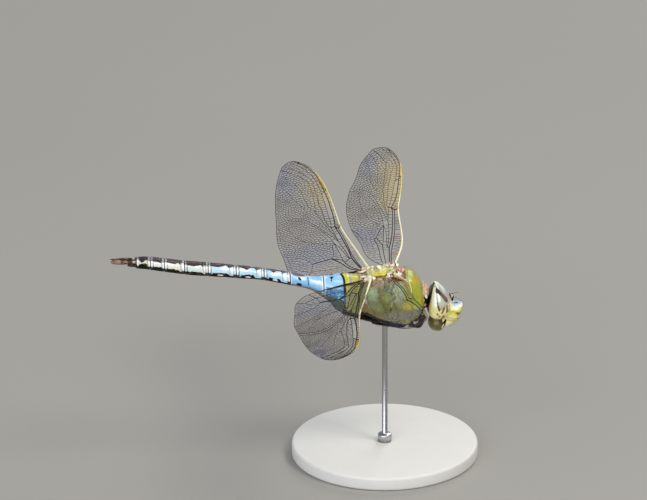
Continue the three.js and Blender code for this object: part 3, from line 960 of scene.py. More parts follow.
SEGMENTS = (
    Segment(-5.8, -8.6, 0.6, ((0, 0), (1, 0)), ((0, 128), (1, 124)), "b9b83f"),
    Segment(-8.6, -13.3, 0.75, ((0, 0), (1, 0)), ((0, 97), (0.6, 95), (1, 108)), "8fc6ee"),
    Segment(
        -13.3, -20.4, 0.46,
        ((0, 0), (0.5, 0), (0.56, 6), (0.66, 18), (0.8, 20), (0.95, 14), (1, 18)),
        ((0, 114), (0.4, 108), (0.5, 122), (0.66, 120), (0.74, 100), (0.85, 116), (1, 112)),
        "86bdec",
    ),
    Segment(
        -20.4, -26.0, 0.3,
        ((0, 6), (0.16, 4), (0.28, 24), (0.36, 4), (0.46, 0), (0.64, 34), (0.78, 12), (1, 14)),
        ((0, 112), (0.34, 114), (0.42, 88), (0.6, 94), (0.8, 86), (0.86, 112), (1, 108)),
        "a4d2f0", "261e2a",
    ),
    Segment(
        -26.0, -32.0, 0.27,
        ((0, 12), (0.12, 6), (0.26, 26), (0.36, 6), (0.44, 0), (0.62, 34), (0.8, 14), (1, 14)),
        ((0, 112), (0.3, 114), (0.38, 90), (0.56, 84), (0.78, 94), (0.88, 112), (1, 108)),
        "b4d8f0", "2e1c26",
    ),
    Segment(
        -32.0, -38.0, 0.24,
        ((0, 14), (0.1, 10), (0.24, 32), (0.37, 6), (0.5, 20), (0.66, 29), (0.84, 26), (1, 18)),
        ((0, 110), (0.22, 112), (0.32, 92), (0.6, 88), (0.84, 96), (0.9, 112), (1, 106)),
        "b8d8ec", "341f26",
    ),
    Segment(
        -38.0, -43.1, 0.22,
        ((0, 30), (0.12, 26), (0.22, 40), (0.32, 24), (0.6, 38), (0.8, 34), (1, 28)),
        ((0, 108), (0.2, 112), (0.3, 96), (0.6, 91), (0.86, 95), (0.93, 108), (1, 104)),
        "c9dbd2", "3a2628",
    ),
    Segment(
        -43.1, -47.4, 0.2,
        ((0, 28), (0.14, 24), (0.22, 44), (0.32, 28), (0.5, 45), (0.8, 39), (1, 36)),
        ((0, 106), (0.2, 104), (0.3, 92), (0.6, 88), (0.9, 90), (1, 102)),
        "d6d8c6", "34262e",
    ),
    Segment(
        -47.4, -50.4, 0.2,
        ((0, 38), (0.2, 46), (0.3, 52), (0.45, 44), (0.8, 44), (1, 38)),
        ((0, 92), (0.2, 82), (0.35, 84), (0.6, 90), (1, 92)),
        "dcd6ce", "362e38",
    ),
    Segment(
        -50.4, -53.4, 0.2,
        ((0, 52), (0.2, 40), (0.34, 34), (0.5, 56), (0.66, 62), (0.82, 34), (1, 26)),
        ((0, 76), (0.3, 72), (0.5, 62), (0.7, 74), (1, 82)),
        "d4ccae", "2e2830",
    ),
)


@dataclass(frozen=True)
class Suture:
    """A seam between side plates of the thorax, in the plane seen from the side."""

    line: tuple[Point, ...]
    depth: float
    width: float


@dataclass(frozen=True)
class Patch:
    """A soft oval of colour on a flank: its middle, half sizes and turn in the side view."""

    middle: Point
    half: Point
    turn: float
    shade: str
    strength: float

    def lay(self, paint: Array, flat: Array) -> Array:
        """Lay it over colours whose places in the side view are given."""
        angle = math.radians(self.turn)
        along = flat - np.array(self.middle)
        forth = along[..., 0] * math.cos(angle) + along[..., 1] * math.sin(angle)
        up = along[..., 1] * math.cos(angle) - along[..., 0] * math.sin(angle)
        reach = np.hypot(forth / self.half[0], up / self.half[1])
        return tint(paint, self.strength * ease(1.25, 0.55, reach), self.shade)


@dataclass(frozen=True)
class Stroke:
    """A soft line of colour on a flank, in the side view."""

    line: tuple[Point, ...]
    width: float
    shade: str

    def lay(self, paint: Array, flat: Array) -> Array:
        """Lay it over colours whose places in the side view are given."""
        gap = line_distance(flat, smooth_line(self.line, 6))
        return tint(paint, 0.9 * ease(1.4, 0.6, gap / self.width), self.shade)


@dataclass
class BodySkin:
    """One skin over the thorax and the ten rings of the abdomen.

    Stations are rows of x, z of the middle, height and width.
    """

    thorax: Array = field(
        default_factory=lambda: np.array([
            (-5.5, 1.1, 9.8, 7.6), (-3.2, 0.95, 10.2, 8.1), (0.0, 0.7, 11.4, 8.7),
            (3.6, 0.7, 12.7, 8.8), (5.0, 0.6, 12.2, 8.5), (6.2, 0.75, 10.6, 8.0),
            (7.4, 0.55, 7.6, 6.8), (8.1, 0.2, 3.9, 4.8),
        ])
    )
    abdomen: Array = field(
        default_factory=lambda: np.array([
            (-5.8, 1.1, 9.5, 7.6), (-8.6, 1.8, 9.0, 7.4), (-10.4, 2.4, 7.5, 7.0),
            (-13.3, 3.55, 4.6, 4.5), (-16.5, 4.65, 2.8, 2.8), (-20.4, 5.65, 2.7, 3.0),
            (-26.0, 6.9, 2.5, 2.8), (-32.0, 7.7, 2.65, 3.0), (-38.0, 8.4, 2.8, 3.3),
            (-43.1, 9.0, 2.8, 3.4), (-47.4, 9.7, 2.7, 3.4), (-50.4, 10.2, 2.6, 3.2),
            (-53.4, 10.45, 2.3, 2.8),
        ])
    )
    waist: float = -5.65
    top_power: float = 3.0
    power: float = 2.2
    ring_gap: float = 0.125
    around: int = 152
    nose: float = 0.35
    sutures: tuple[Suture, ...] = (
        Suture(((4.1, 5.4), (4.9, 3.2), (5.5, 0.6), (5.6, -1.6), (5.0, -3.6)), 0.2, 0.16),
        Suture(((0.7, 6.0), (0.9, 3.6), (1.6, 1.2), (2.5, -1.6), (2.6, -3.4)), 0.14, 0.14),
        Suture(((-1.6, 5.6), (-1.6, 3.4), (-0.9, 1.0), (0.2, -1.6), (0.2, -3.4)), 0.12, 0.13),
        Suture(((-4.6, 4.8), (-4.4, 2.6), (-3.4, 0.2), (-2.4, -1.8), (-2.4, -3.2)), 0.18, 0.15),
        Suture(((6.6, -2.9), (4.0, -2.6), (1.0, -2.5), (-2.4, -2.2), (-4.8, -1.0)), 0.14, 0.15),
    )
    rings: Array | None = None
    middle_x: Array | None = None
    coxa_line: tuple[Point, ...] = (
        (-5.6, -1.0), (-4.2, -1.24), (-3.3, -1.68), (-2.2, -2.4), (-1.2, -2.95), (0.0, -3.4),
        (0.7, -3.6), (2.0, -4.0), (3.5, -4.4), (5.0, -4.8), (7.0, -5.0),
    )
    patches: tuple[Patch, ...] = (
        Patch((2.6, -2.2), (3.7, 1.5), 8, "968f7c", 0.85),
        Patch((5.6, -1.9), (2.0, 1.5), 0, "8c877c", 0.8),
        Patch((4.9, 0.1), (1.7, 1.1), -10, "b8b04e", 0.85),
        Patch((2.3, 3.1), (1.9, 2.8), 0, "aab292", 0.8),
        Patch((-1.15, 3.3), (0.75, 1.7), 8, "85823a", 0.85),
        Patch((-2.9, 2.9), (1.4, 1.8), 0, "a8bc8c", 0.95),
        Patch((-2.6, 0.4), (2.0, 0.8), -20, "8f9a6a", 0.8),
        Patch((-0.1, 2.5), (0.6, 0.75), 0, "a3b03e", 0.8),
        Patch((-0.8, 2.4), (0.24, 0.6), 0, "b8943c", 0.9),
        Patch((0.0, 4.6), (0.6, 0.5), 30, "4a5a22", 0.85),
        Patch((-2.95, 3.5), (0.5, 0.55), 0, "b8cfaa", 0.8),
        Patch((-2.75, 2.4), (0.4, 0.3), 0, "bfcb66", 0.8),
        Patch((-2.1, 5.0), (1.0, 0.8), 20, "b08c7c", 0.9),
        Patch((-4.45, 1.3), (0.5, 0.6), 0, "cfc8b8", 0.8),
        Patch((-4.6, -0.05), (0.5, 0.9), 8, "9c5c14", 1.0),
        Patch((7.2, -1.2), (0.6, 1.1), 0, "7c8a86", 0.9),
        Patch((6.5, 5.2), (0.8, 0.5), -30, "c9a030", 0.8),
        Patch((4.7, 5.9), (0.6, 0.8), 0, "b4c66c", 0.8),
        Patch((6.2, 2.2), (0.5, 1.0), 0, "9aa428", 0.8),
    )
    strokes: tuple[Stroke, ...] = (
        Stroke(((-4.3, -0.6), (-3.6, -0.95), (-1.8, -1.9), (-0.3, -2.8)), 0.5, "927e26"),
        Stroke(((1.4, 4.9), (1.25, 4.0), (1.1, 2.9)), 0.24, "4c5650"),
        Stroke(((2.5, 3.5), (2.2, 2.7), (1.5, 1.8), (0.2, 0.9)), 0.16, "6c7344"),
        Stroke(((2.9, 3.2), (2.6, 2.4), (1.9, 1.4), (0.7, 0.4)), 0.14, "bcc49c"),
    )

    def track(self, column: int, x: Array) -> Array:
        """One column of the stations, thorax running into abdomen at the waist."""
        share = ease(self.waist - 0.3, self.waist + 0.3, x)
        rear = smooth_track(self.abdomen, column, x)
        return rear + (smooth_track(self.thorax, column, x) - rear) * share

    def rings_at(self, x: Array, shrink: Array) -> tuple[Array, Array]:
        """Plain rings of the body.

        Args:
            x: places along the body.
            shrink: size of each ring as a part of the body's section there.

        Returns:
            The rings, and each point's angle from the top.
        """
        turn = np.linspace(0, 2 * math.pi, self.around, endpoint=False)[None, :]
        place = x[:, None]
        across, up = np.sin(turn), np.cos(turn)
        chest = ease(self.waist - 0.6, self.waist + 1.5, place)
        power = self.power + (self.top_power - self.power) * chest * ease(-0.1, 0.35, up)
        reach = (np.abs(across) ** power + np.abs(up) ** power) ** (-1 / power)
        width = self.track(3, place) / 2 * shrink[:, None] * reach * across
        height = self.track(2, place) / 2 * shrink[:, None] * reach * up
        rings = np.stack([place + 0 * turn, width, self.track(1, place) + height], axis=-1)
        angle = np.degrees(np.arccos(np.clip(up, -1, 1))) + 0 * place
        return rings, angle

    def places(self) -> tuple[Array, Array]:
        """Where the rings stand, from the front of the thorax to the tail, and their shrink."""
        front, rear = self.thorax[-1, 0], self.abdomen[-1, 0]
        count = int((front - rear) / self.ring_gap)
        arc = np.linspace(0.15, math.pi / 2, 9)[:-1]
        rim = np.array([0.12, 0.08, 0.04])
        x = np.concatenate([
            front + self.nose * np.cos(arc), np.linspace(front, rear, count), rear + 0 * rim,
        ])
        shrink = np.concatenate([np.sin(arc), np.ones(count), 1 - np.array([0.06, 0.2, 0.5])])
        x[-3:] -= rim
        return x, shrink

    def spiracle(self, x: Array, z: Array) -> Array:
        """Distance from the breathing hole's middle, 1 at its rim."""
        return np.hypot((x - 0.9) / 0.28, (z + 0.4) / 0.55)

    def chest_relief(self, rings: Array, angle: Array) -> Array:
        """How far each point of the thorax stands out from the plain ring.

        Args:
            rings: points of the plain skin.
            angle: each point's angle from the top, in degrees.

        Returns:
            Millimetres outwards for each point.
        """
        x, y, z = np.moveaxis(rings, -1, 0)
        back = ease(55, 30, angle)
        rise = 0.16 * hump(0, 5, angle) * band(4.6, 7.6, 0.6, x)
        rise += 0.22 * hump(4.35, 0.28, x) * ease(62, 40, angle)
        rise -= 0.3 * hump(3.55, 0.45, x) * ease(50, 30, angle)
        rise += 0.2 * hump(2.0, 1.0, x) * hump(1.3, 0.9, np.abs(y)) * back
        rise -= 0.25 * hump(-4.9, 0.25, x) * back
        for hinge in (2.3, -3.3):
            rise -= 0.4 * hump(hinge, 1.0, x) * hump(3.0, 0.55, np.abs(y)) * ease(70, 50, angle)
        side = band(48, 125, 12, angle)
        flat = np.stack([x, z], axis=-1)
        for suture in self.sutures:
            line = smooth_line(suture.line, 6)
            gap = line_distance(flat, line)
            rise -= 0.6 * suture.depth * hump(0, suture.width, gap) * side
            rise += 0.2 * suture.depth * hump(2.2 * suture.width, suture.width, gap) * side
        spiracle = self.spiracle(x, z)
        rise += (0.1 * hump(1.0, 0.3, spiracle) - 0.14 * hump(0, 0.55, spiracle)) * side
        rise += 0.04 * mottle(rings, 1.6, 3) * side
        keel = ease(150, 175, angle)
        rise += 0.15 * keel * mottle(rings, 1.4, 5)
        return rise

    def ring_relief(self, rings: Array, angle: Array) -> Array:
        """How far each point of the abdomen stands out from the plain ring.

        Args:
            rings: points of the plain skin.
            angle: each point's angle from the top, in degrees.

        Returns:
            Millimetres outwards for each point.
        """
        x = rings[..., 0]
        rise = 0.02 * mottle(rings * np.array([0.6, 1, 1]), 1.2, 7)
        for index, part in enumerate(SEGMENTS):
            length = part.front - part.rear
            size = 0.5 if index < 1 else 1.0
            t = (part.front - x) / length
            inside = band(0, 1, 0.01, t)
            rise -= size * 0.13 * hump(part.rear, 0.1, x)
            rise += size * 0.06 * hump(part.rear + 0.3, 0.18, x)
            ridge = part.front - part.ridge * length
            low = ease(105, 80, angle)
            rise += (0.05 * hump(ridge, 0.08, x) - 0.05 * hump(ridge - 0.18, 0.1, x)) * low
            if index >= 3:
                belly = 0.03 * np.sin(np.clip(t, 0, 1) * math.pi)
                rise += inside * (belly + 0.05 * hump(62, 4, angle) * band(0.3, 0.95, 0.08, t))
            if index >= 6:
                rise += inside * 0.07 * hump(0, 7, angle)
        rise -= 0.16 * hump(128, 4.5, angle) * ease(-8.6, -13.0, x)
        rise += 0.12 * hump(180, 9, angle) * ease(-13.0, -15.0, x)
        rise += 0.45 * hump(-10.3, 1.1, x) * hump(180, 26, angle)
        rise -= 0.4 * hump(-9.7, 1.9, x) * hump(180, 6, angle)
        return rise

    def chest_colours(self, rings: Array, angle: Array) -> Array:
        """Colours of the thorax.

        Args:
            rings: points of the plain skin.
            angle: each point's angle from the top, in degrees.

        Returns:
            A colour for each point.
        """
        x, _, z = np.moveaxis(rings, -1, 0)
        blotch = mottle(rings, 2.2, 11)
        fine = mottle(rings, 0.7, 12)
        flat = np.stack([x, z], axis=-1)
        paint = np.broadcast_to(tone("80843a"), rings.shape)
        paint = tint(paint, 0.8 * ease(0.1, 1.0, blotch), "92a35a")
        paint = tint(paint, 0.6 * ease(0.3, 1.1, -blotch + 0.4 * fine), "6c6428")
        front = ease(3.2, 5.2, x)
        paint = tint(paint, front, "a7a72c")
        paint = tint(paint, front * ease(0.1, 1.0, blotch + 0.5 * fine), "93a43c")
        paint = tint(paint, 0.7 * front * ease(0.5, 1.2, -blotch), "b79d2e")
        for mark in (*self.patches, *self.strokes):
            paint = mark.lay(paint, flat + 0.22 * np.stack([fine, blotch], axis=-1))
        for suture in self.sutures[:4]:
            gap = line_distance(flat, smooth_line(suture.line, 6))
            paint = tint(paint, 0.3 * ease(0.3, 0.08, gap) * band(48, 120, 8, angle), "4a3a1c")
        spiracle = self.spiracle(x, z)
        paint = tint(paint, ease(1.0, 0.6, spiracle), "33271a")
        line = smooth_line(self.coxa_line, 6)
        under = z - np.interp(x, line[:, 0], line[:, 1])
        hem = band(-0.2, 1.1, 0.4, under) * ease(-0.5, 1.5, x)
        strokes = mottle(np.stack([x - z, 0.3 * (x + z)], axis=-1), 0.5, 16)
        paint = tint(paint, 0.85 * hem * ease(0.0, 0.5, strokes), "1e1812")
        paint = tint(paint, 0.7 * hem * ease(-0.4, -0.9, strokes), "d8caa4")
        belly = ease(0.1, -0.2, under + 0.1 * fine)
        paint = tint(paint, belly, "0f0c09")
        back = ease(52, 40, angle)
        hinge = back * band(-5.2, 3.9, 0.4, x)
        paint = tint(paint, 0.85 * hinge, "a08a68")
        paint = tint(paint, 0.7 * hinge * ease(0.1, 0.8, mottle(rings, 1.0, 14)), "d6c7ab")
        paint = tint(paint, 0.75 * hinge * ease(0.35, 0.9, mottle(rings, 0.9, 15)), "5a3c2c")
        paint = tint(paint, back * hump(4.1, 0.22, x), "8a5a4a")
        return tint(paint, 0.5 * hump(0, 2.0, angle) * ease(4.4, 4.8, x), "7c7a20")

    def ring_colours(self, rings: Array, angle: Array) -> Array:
        """Colours of the abdomen, with painted highlights on the upper flanks and painted shade low on
        the second ring.

        Args:
            rings: points of the plain skin.
            angle: each point's angle from the top, in degrees.

        Returns:
            A colour for each point.
        """
        x = rings[..., 0]
        ragged = mottle(rings * np.array([1, 1.4, 1.4]), 0.9, 21)
        cloud = mottle(rings * np.array([0.7, 1, 1]), 1.6, 22)
        paint = painted(rings, "8fc6ee")
        for index, part in enumerate(SEGMENTS):
            length = part.front - part.rear
            t = (part.front - x) / length
            inside = (t >= 0) & ((t < 1) | (index == 9)) if index else t < 1
            skin = painted(rings, part.flank)
            if index:
                skin = tint(skin, 0.55 * ease(0.2, 1.2, cloud) * ease(110, 60, angle), "d5e8f2")
                # Painted highlight: a broad white streak along the upper flank of every ring from the
                # third on.
                light = hump(46, 15, angle) * ease(-0.8, 0.4, cloud + 0.5 * ragged)
                skin = tint(skin, 0.75 * light * (index > 1), "f6fbfd")
            if index == 1:
                # Painted shade: below the line of the near hind wing's edge the second ring turns deep
                # blue, standing in for the shade of the wing's film.
                skin = tint(skin, 0.9 * ease(58, 66, angle - 2 * cloud), "2f84bd")
                # Painted highlight: pale blue streaks along the second ring's flank.
                painted_gleam = hump(74, 4, angle + 6 * cloud) + hump(89, 3, angle - 5 * cloud)
                painted_gleam = painted_gleam * ease(-0.3, 0.4, ragged)
                skin = tint(skin, 0.8 * np.clip(painted_gleam, 0, 1), "b4e2fa")
            if 1 < index < 6:
                skin = tint(skin, 0.8 * ease(88, 112, angle) * ease(-22, -12, x), "3f7fb4")
            hem = along_points(part.hem, t) + 3.0 * ragged
            dark = ease(-1.5, 2.0, angle - hem)
            skin = tint(skin, dark, self.belly_colour(index, rings, angle, t))
            saddle = along_points(part.saddle, t)
            saddle = saddle + (5.0 + 4.0 * (index > 3)) * ease(0.5, 8.0, saddle) * (index < 7)
            saddle = np.maximum(saddle, 13.0 * (index > 2))
            stripe = ease(2.5, -1.5, angle - saddle - 1.5 * ragged) * (saddle > 0.5)
            rusty = tint(painted(rings, part.crown), ease(0, 1, cloud), "4a2c30")
            skin = tint(skin, stripe, rusty)
            edge = hump(0, 2.2, angle - saddle) * (saddle > 3)
            skin = tint(skin, 0.8 * edge, "0e0a0e")
            skin = self.ring_joints(index, skin, part, x, angle)
            paint = np.where(inside[..., None], skin, paint)
        paint = self.fore_rings(paint, rings, angle)
        return paint

    def belly_colour(self, index: int, rings: Array, angle: Array, t: Array) -> Array:
        """Colours of a ring's underside."""
        shade = ("5f6a30", "5f6a30", "7d7564")[index] if index < 3 else "120d0a"
        base = painted(rings, shade)
        patch = mottle(rings, 1.1, 31)
        base = tint(base, 0.6 * ease(0.2, 1.1, patch), "4a3a28")
        if index in (3, 4, 5):
            window = np.hypot((angle - 113 + 4 * patch) / 10, (t - 0.58) / 0.1)
            base = tint(base, ease(1.2, 0.7, window), "f4f2e6")
        return tint(base, 0.5 * hump(180, 10, angle), "12100e")

    def ring_joints(self, index: int, skin: Array, part: Segment, x: Array, angle: Array) -> Array:
        """The pale and black rings at a joint, and the line along a cross ridge.

        Args:
            index: number of the ring, from 0.
            skin: the ring's colours so far.
            part: the ring.
            x: each point's place along the body.
            angle: each point's angle from the top, in degrees.

        Returns:
            The colours with the joints laid over them.
        """
        if index < 1:
            return skin
        low = ease(128, 112, angle)
        shown = low * (0.25 + 0.75 * ease(38, 58, angle) if index > 2 else 1.0)
        pale = tone("f4f8f6")
        reach = 0.25 if index < 3 else 0.4
        if index > 1:
            skin = tint(skin, 0.9 * band(part.rear, part.rear + reach, 0.05, x) * shown, pale)
            skin = tint(skin, 0.9 * band(part.front - reach, part.front, 0.05, x) * shown, pale)
        if index > 2:
            line = ease(0.17, 0.07, np.abs(x - part.rear - 0.55))
            line = line + ease(0.17, 0.07, np.abs(x - part.front + 0.55))
            skin = tint(skin, (0.45 if index > 6 else 0.8) * np.clip(line, 0, 1) * low, "05060a")
            wedge = ease(86, 104, angle) * (band(part.rear, part.rear + 0.6, 0.1, x)
                                            + band(part.front - 0.6, part.front, 0.1, x))
            skin = tint(skin, np.clip(wedge, 0, 1) * low, "0a0a0c")
        joint = ease(0.16, 0.08, np.abs(x - part.rear))
        if index > 1:
            joint = joint + ease(0.16, 0.08, np.abs(x - part.front))
        skin = tint(skin, np.clip(joint, 0, 1), "08090c")
        ridge = part.front - part.ridge * (part.front - part.rear)
        across = hump(ridge + 0.002 * (angle - 50), 0.12, x) * band(22, 92, 8, angle)
        if index > 1:
            skin = tint(skin, across, "15202c")
            skin = tint(skin, 0.4 * band(ridge, part.front - 0.4, 0.1, x) * ease(20, 50, angle)
                        * ease(100, 84, angle) * (index > 2), pale)
        if index == 1:
            beside = band(part.rear + 0.22, part.rear + 0.42, 0.05, x)
            skin = tint(skin, 0.9 * beside * low, "dfeffa")
        return skin

    def fore_rings(self, paint: Array, rings: Array, angle: Array) -> Array:
        """Markings of the first three rings, which differ from the others.

        Args:
            paint: colours of the abdomen so far.
            rings: points of the plain skin.
            angle: each point's angle from the top, in degrees.

        Returns:
            The colours with the markings laid over them.
        """
        x = rings[..., 0]
        curve = x + 8.83 + 0.12 * (np.maximum(47 - angle, 0) / 26) ** 2.7
        paint = tint(paint, ease(0.42, 0.24, np.abs(curve)) * ease(84, 70, angle), "0c0d0a")
        green = band(0.25, 0.95, 0.1, curve)
        paint = tint(paint, green * ease(75, 50, angle), "c3c02e")
        paint = tint(paint, 0.9 * band(-7.65, -7.25, 0.1, x), "8f948e")
        paint = tint(paint, 0.8 * band(-7.0, -5.9, 0.15, x) * ease(70, 40, angle), "b0ae3c")
        paint = tint(paint, 0.7 * ease(52, 75, angle) * ease(-8.5, -8.0, x), "8c8a50")
        tick = ease(1.3, 0.7, np.abs(x + 11.42 + 0.006 * angle) / (0.1 + 0.26 * ease(26, 14, angle)))
        paint = tint(paint, tick * band(9, 34, 3, angle), "080b12")
        upper = np.hypot((x + 18.4 - 0.008 * (angle - 50)) / 0.36, (angle - 50) / 17)
        lower = np.hypot((x + 18.5) / 0.6, (angle - 108) / 17)
        paint = tint(paint, ease(1.15, 0.85, upper), "0c0c10")
        paint = tint(paint, ease(1.15, 0.85, lower), "1a0e10")
        belly = ease(118, 128, angle) * band(-13.2, -8.4, 0.2, x)
        return tint(paint, 0.6 * belly * ease(0.2, 1, mottle(rings, 1.0, 24)), "2c2c20")

    def build(self) -> bpy.types.Object:
        """Make the skin, which stands for the thorax and every ring of the abdomen."""
        x, shrink = self.places()
        plain, angle = self.rings_at(x, shrink)
        chest = ease(self.waist - 0.2, self.waist + 0.2, plain[..., 0])
        rise = self.chest_relief(plain, angle) * chest + self.ring_relief(plain, angle) * (1 - chest)
        rise *= ease(0.0, 0.9, shrink)[:, None]
        rings = plain + surface_normals(plain) * rise[..., None]
        self.rings, self.middle_x = rings, x
        front = self.chest_colours(plain, angle)
        colours = tint(self.ring_colours(plain, angle), chest, front)
        shape = lofted(rings, colours)
        piece = dress(make_object("body_skin", shape), BODY_PLATE)
        rings_of = [f"abdomen_s{number + 1}" for number in range(len(SEGMENTS))]
        return hand_in(piece, Slot.BLUE, "thorax", *rings_of)


@dataclass(frozen=True)
class Knob:
    """A small lump on the back: its middle, half sizes, nose-down tilt and colour."""

    middle: Point
    half: Point
    tilt: float
    shade: str
    paired: bool = True


@dataclass
class Back:
    """The small humped plates and pads between the roots of the wings."""

    ridges: tuple[tuple[tuple[Point, ...], float, str], ...] = (
        (((-3.5, 1.4, 6.3), (-2.4, 1.55, 6.55), (-1.0, 1.6, 6.6), (0.8, 1.4, 6.45)), 0.34, "dcc22c"),
        (((1.2, 2.7, 6.75), (2.2, 2.9, 6.55), (3.3, 2.9, 6.1), (4.3, 2.75, 5.6)), 0.3, "dc8c2c"),
        (((1.1, 3.0, 6.4), (2.2, 3.15, 6.2), (3.3, 3.15, 5.75), (4.2, 3.0, 5.3)), 0.2, "4a2414"),
        (((1.6, 2.2, 7.6), (1.5, 2.2, 7.0), (0.9, 2.1, 6.6)), 0.12, "2a1812"),
        (((2.2, 2.3, 7.9), (2.4, 2.2, 7.2), (2.35, 2.1, 6.6)), 0.12, "2a1812"),
    )
    knobs: tuple[Knob, ...] = (
        Knob((-2.6, 0, 6.15), (1.5, 1.35, 1.15), 0, "b3b478", False),
        Knob((-0.55, 0, 6.55), (1.5, 1.5, 1.15), 24, "c4cc6a", False),
        Knob((-0.85, 0, 7.5), (1.05, 0.95, 0.26), 24, "f6f0dc", False),
        Knob((-2.0, 0, 7.0), (0.5, 0.42, 0.5), 0, "c08474", False),
        Knob((-2.75, 0, 7.0), (0.5, 0.5, 0.3), 10, "e4d8c4", False),
        Knob((-3.6, 0.3, 6.8), (0.36, 0.4, 0.36), 0, "dd9c7c", False),
        Knob((1.8, 0, 6.5), (0.95, 0.9, 0.45), -4, "bccb46", False),
        Knob((3.05, 0, 6.75), (0.5, 0.7, 0.36), 6, "d8683c", False),
        Knob((3.85, 0.0, 6.75), (0.5, 0.9, 0.55), 10, "d99c94", False),
        Knob((1.5, 1.2, 6.7), (0.9, 0.5, 0.32), 0, "e8c9b0"),
        Knob((-3.9, 2.1, 6.05), (0.7, 0.6, 0.5), 0, "a9c27c"),
        Knob((-2.6, 2.95, 6.45), (0.42, 0.35, 0.32), 0, "f3ecd0"),
        Knob((-4.5, 2.9, 5.95), (0.4, 0.35, 0.4), 0, "f2ead8"),
        Knob((-6.2, 2.9, 4.9), (0.6, 0.3, 0.25), -10, "e2c48a"),
        Knob((2.75, 2.55, 6.85), (0.5, 0.4, 0.55), 10, "f6f2ec"),
        Knob((1.5, 2.45, 6.7), (0.55, 0.35, 0.4), 0, "4a1a26"),
        Knob((0.6, 2.3, 6.9), (0.3, 0.3, 0.3), 0, "f2ece4"),
        Knob((0.3, 1.9, 6.5), (0.35, 0.35, 0.35), 0, "6a2a20"),
        Knob((-4.9, 1.3, 6.15), (0.55, 0.36, 0.26), -10, "e8dcc8"),
        Knob((-4.1, 1.5, 6.2), (0.45, 0.36, 0.24), 8, "dccbb2"),
        Knob((-5.3, 1.9, 5.6), (0.5, 0.6, 0.5), 0, "a98a68"),
    )

    def lump(self, knob: Knob, side: int) -> Shape:
        """One knob as a mottled ball, darkened towards its underside as painted shade.

        Args:
            knob: its place, sizes and colour.
            side: 1 on the left of the body, -1 on the right.

        Returns:
            Its shape.
        """
        half = np.array(knob.half)
        angle = math.radians(knob.tilt)
        unit = ellipsoid((0, 0, 0), knob.half, 18, 26)
        x, y, z = np.moveaxis(unit, -1, 0)
        rings = np.stack([
            knob.middle[0] + x * math.cos(angle) + z * math.sin(angle),
            side * knob.middle[1] + y,
            knob.middle[2] + z * math.cos(angle) - x * math.sin(angle),
        ], axis=-1)
        rings = rings + 0.2 * half.min() * surface_normals(rings) * mottle(rings, 0.6, 35)[..., None]
        paint = painted(rings, knob.shade)
        paint = tint(paint, 0.35 * ease(0.2, 1.0, mottle(rings, 0.4, 36)), "f4ead8")
        paint = tint(paint, 0.35 * ease(0.3, 1.1, mottle(rings, 0.45, 37)), "6a4a34")
        # Painted shade: each knob darkens towards its underside.
        return lofted(rings, tint(paint, 0.6 * ease(-0.3, -0.9, z / half[2]), "4a3020"))

    def build(self) -> bpy.types.Object:
        """Make them all as one piece."""
        shapes = []
        for knob in self.knobs:
            for side in (1, -1) if knob.paired else (1,):
                shapes.append(self.lump(knob, side))
        for path, width, shade in self.ridges:
            for side in (1, -1):
                line = smooth_line([(x, side * y, z) for x, y, z in path], 10)
                part = np.linspace(0, 1, len(line))
                rings = limb(line, width * (0.35 + 0.65 * np.sin(math.pi * part) ** 0.5), 14)
                paint = painted(rings, shade)
                paint = tint(paint, 0.4 * ease(0.2, 1.0, mottle(rings, 0.5, 38)), "8a5a20")
                shapes.append(lofted(rings, paint))
        piece = dress(make_object("back_pads", shapes[0].joined(*shapes[1:])), BODY_PLATE)
        return hand_in(piece, Slot.PALE)
# ---------------------------------------------------------------- head


@dataclass
class Globe:
    """The rounded outline that both eyes share, from which the back of the head is also made."""

    middle: Point = (11.85, 0.0, -0.1)
    half: Point = (2.45, 5.2, 3.85)
    point: float = 0.4
    crown_lean: float = -1.0
    foot_lean: float = -0.3
    wrap: float = 0.7
    foot_reach: float = 1.12
    square: float = 2.5

    def place(self, unit: Array) -> Array:
        """Points of the globe for unit directions."""
        x, y, z = np.moveaxis(unit, -1, 0)
        flat = np.hypot(x, y) + 1e-9
        fuller = ((np.abs(x) ** self.square + np.abs(y) ** self.square) ** (1 / self.square)) / flat
        x, y = x / fuller, y / fuller
        lean = np.where(z > 0, self.crown_lean, self.foot_lean)
        slimmer = 1 - self.point * z
        return np.stack([
            self.middle[0] + x * self.half[0] * slimmer + lean * z * z - self.wrap * y * y,
            self.middle[1] + y * self.half[1],
            self.middle[2] + z * self.half[2] * np.where(z < 0, self.foot_reach, 1.0),
        ], axis=-1)


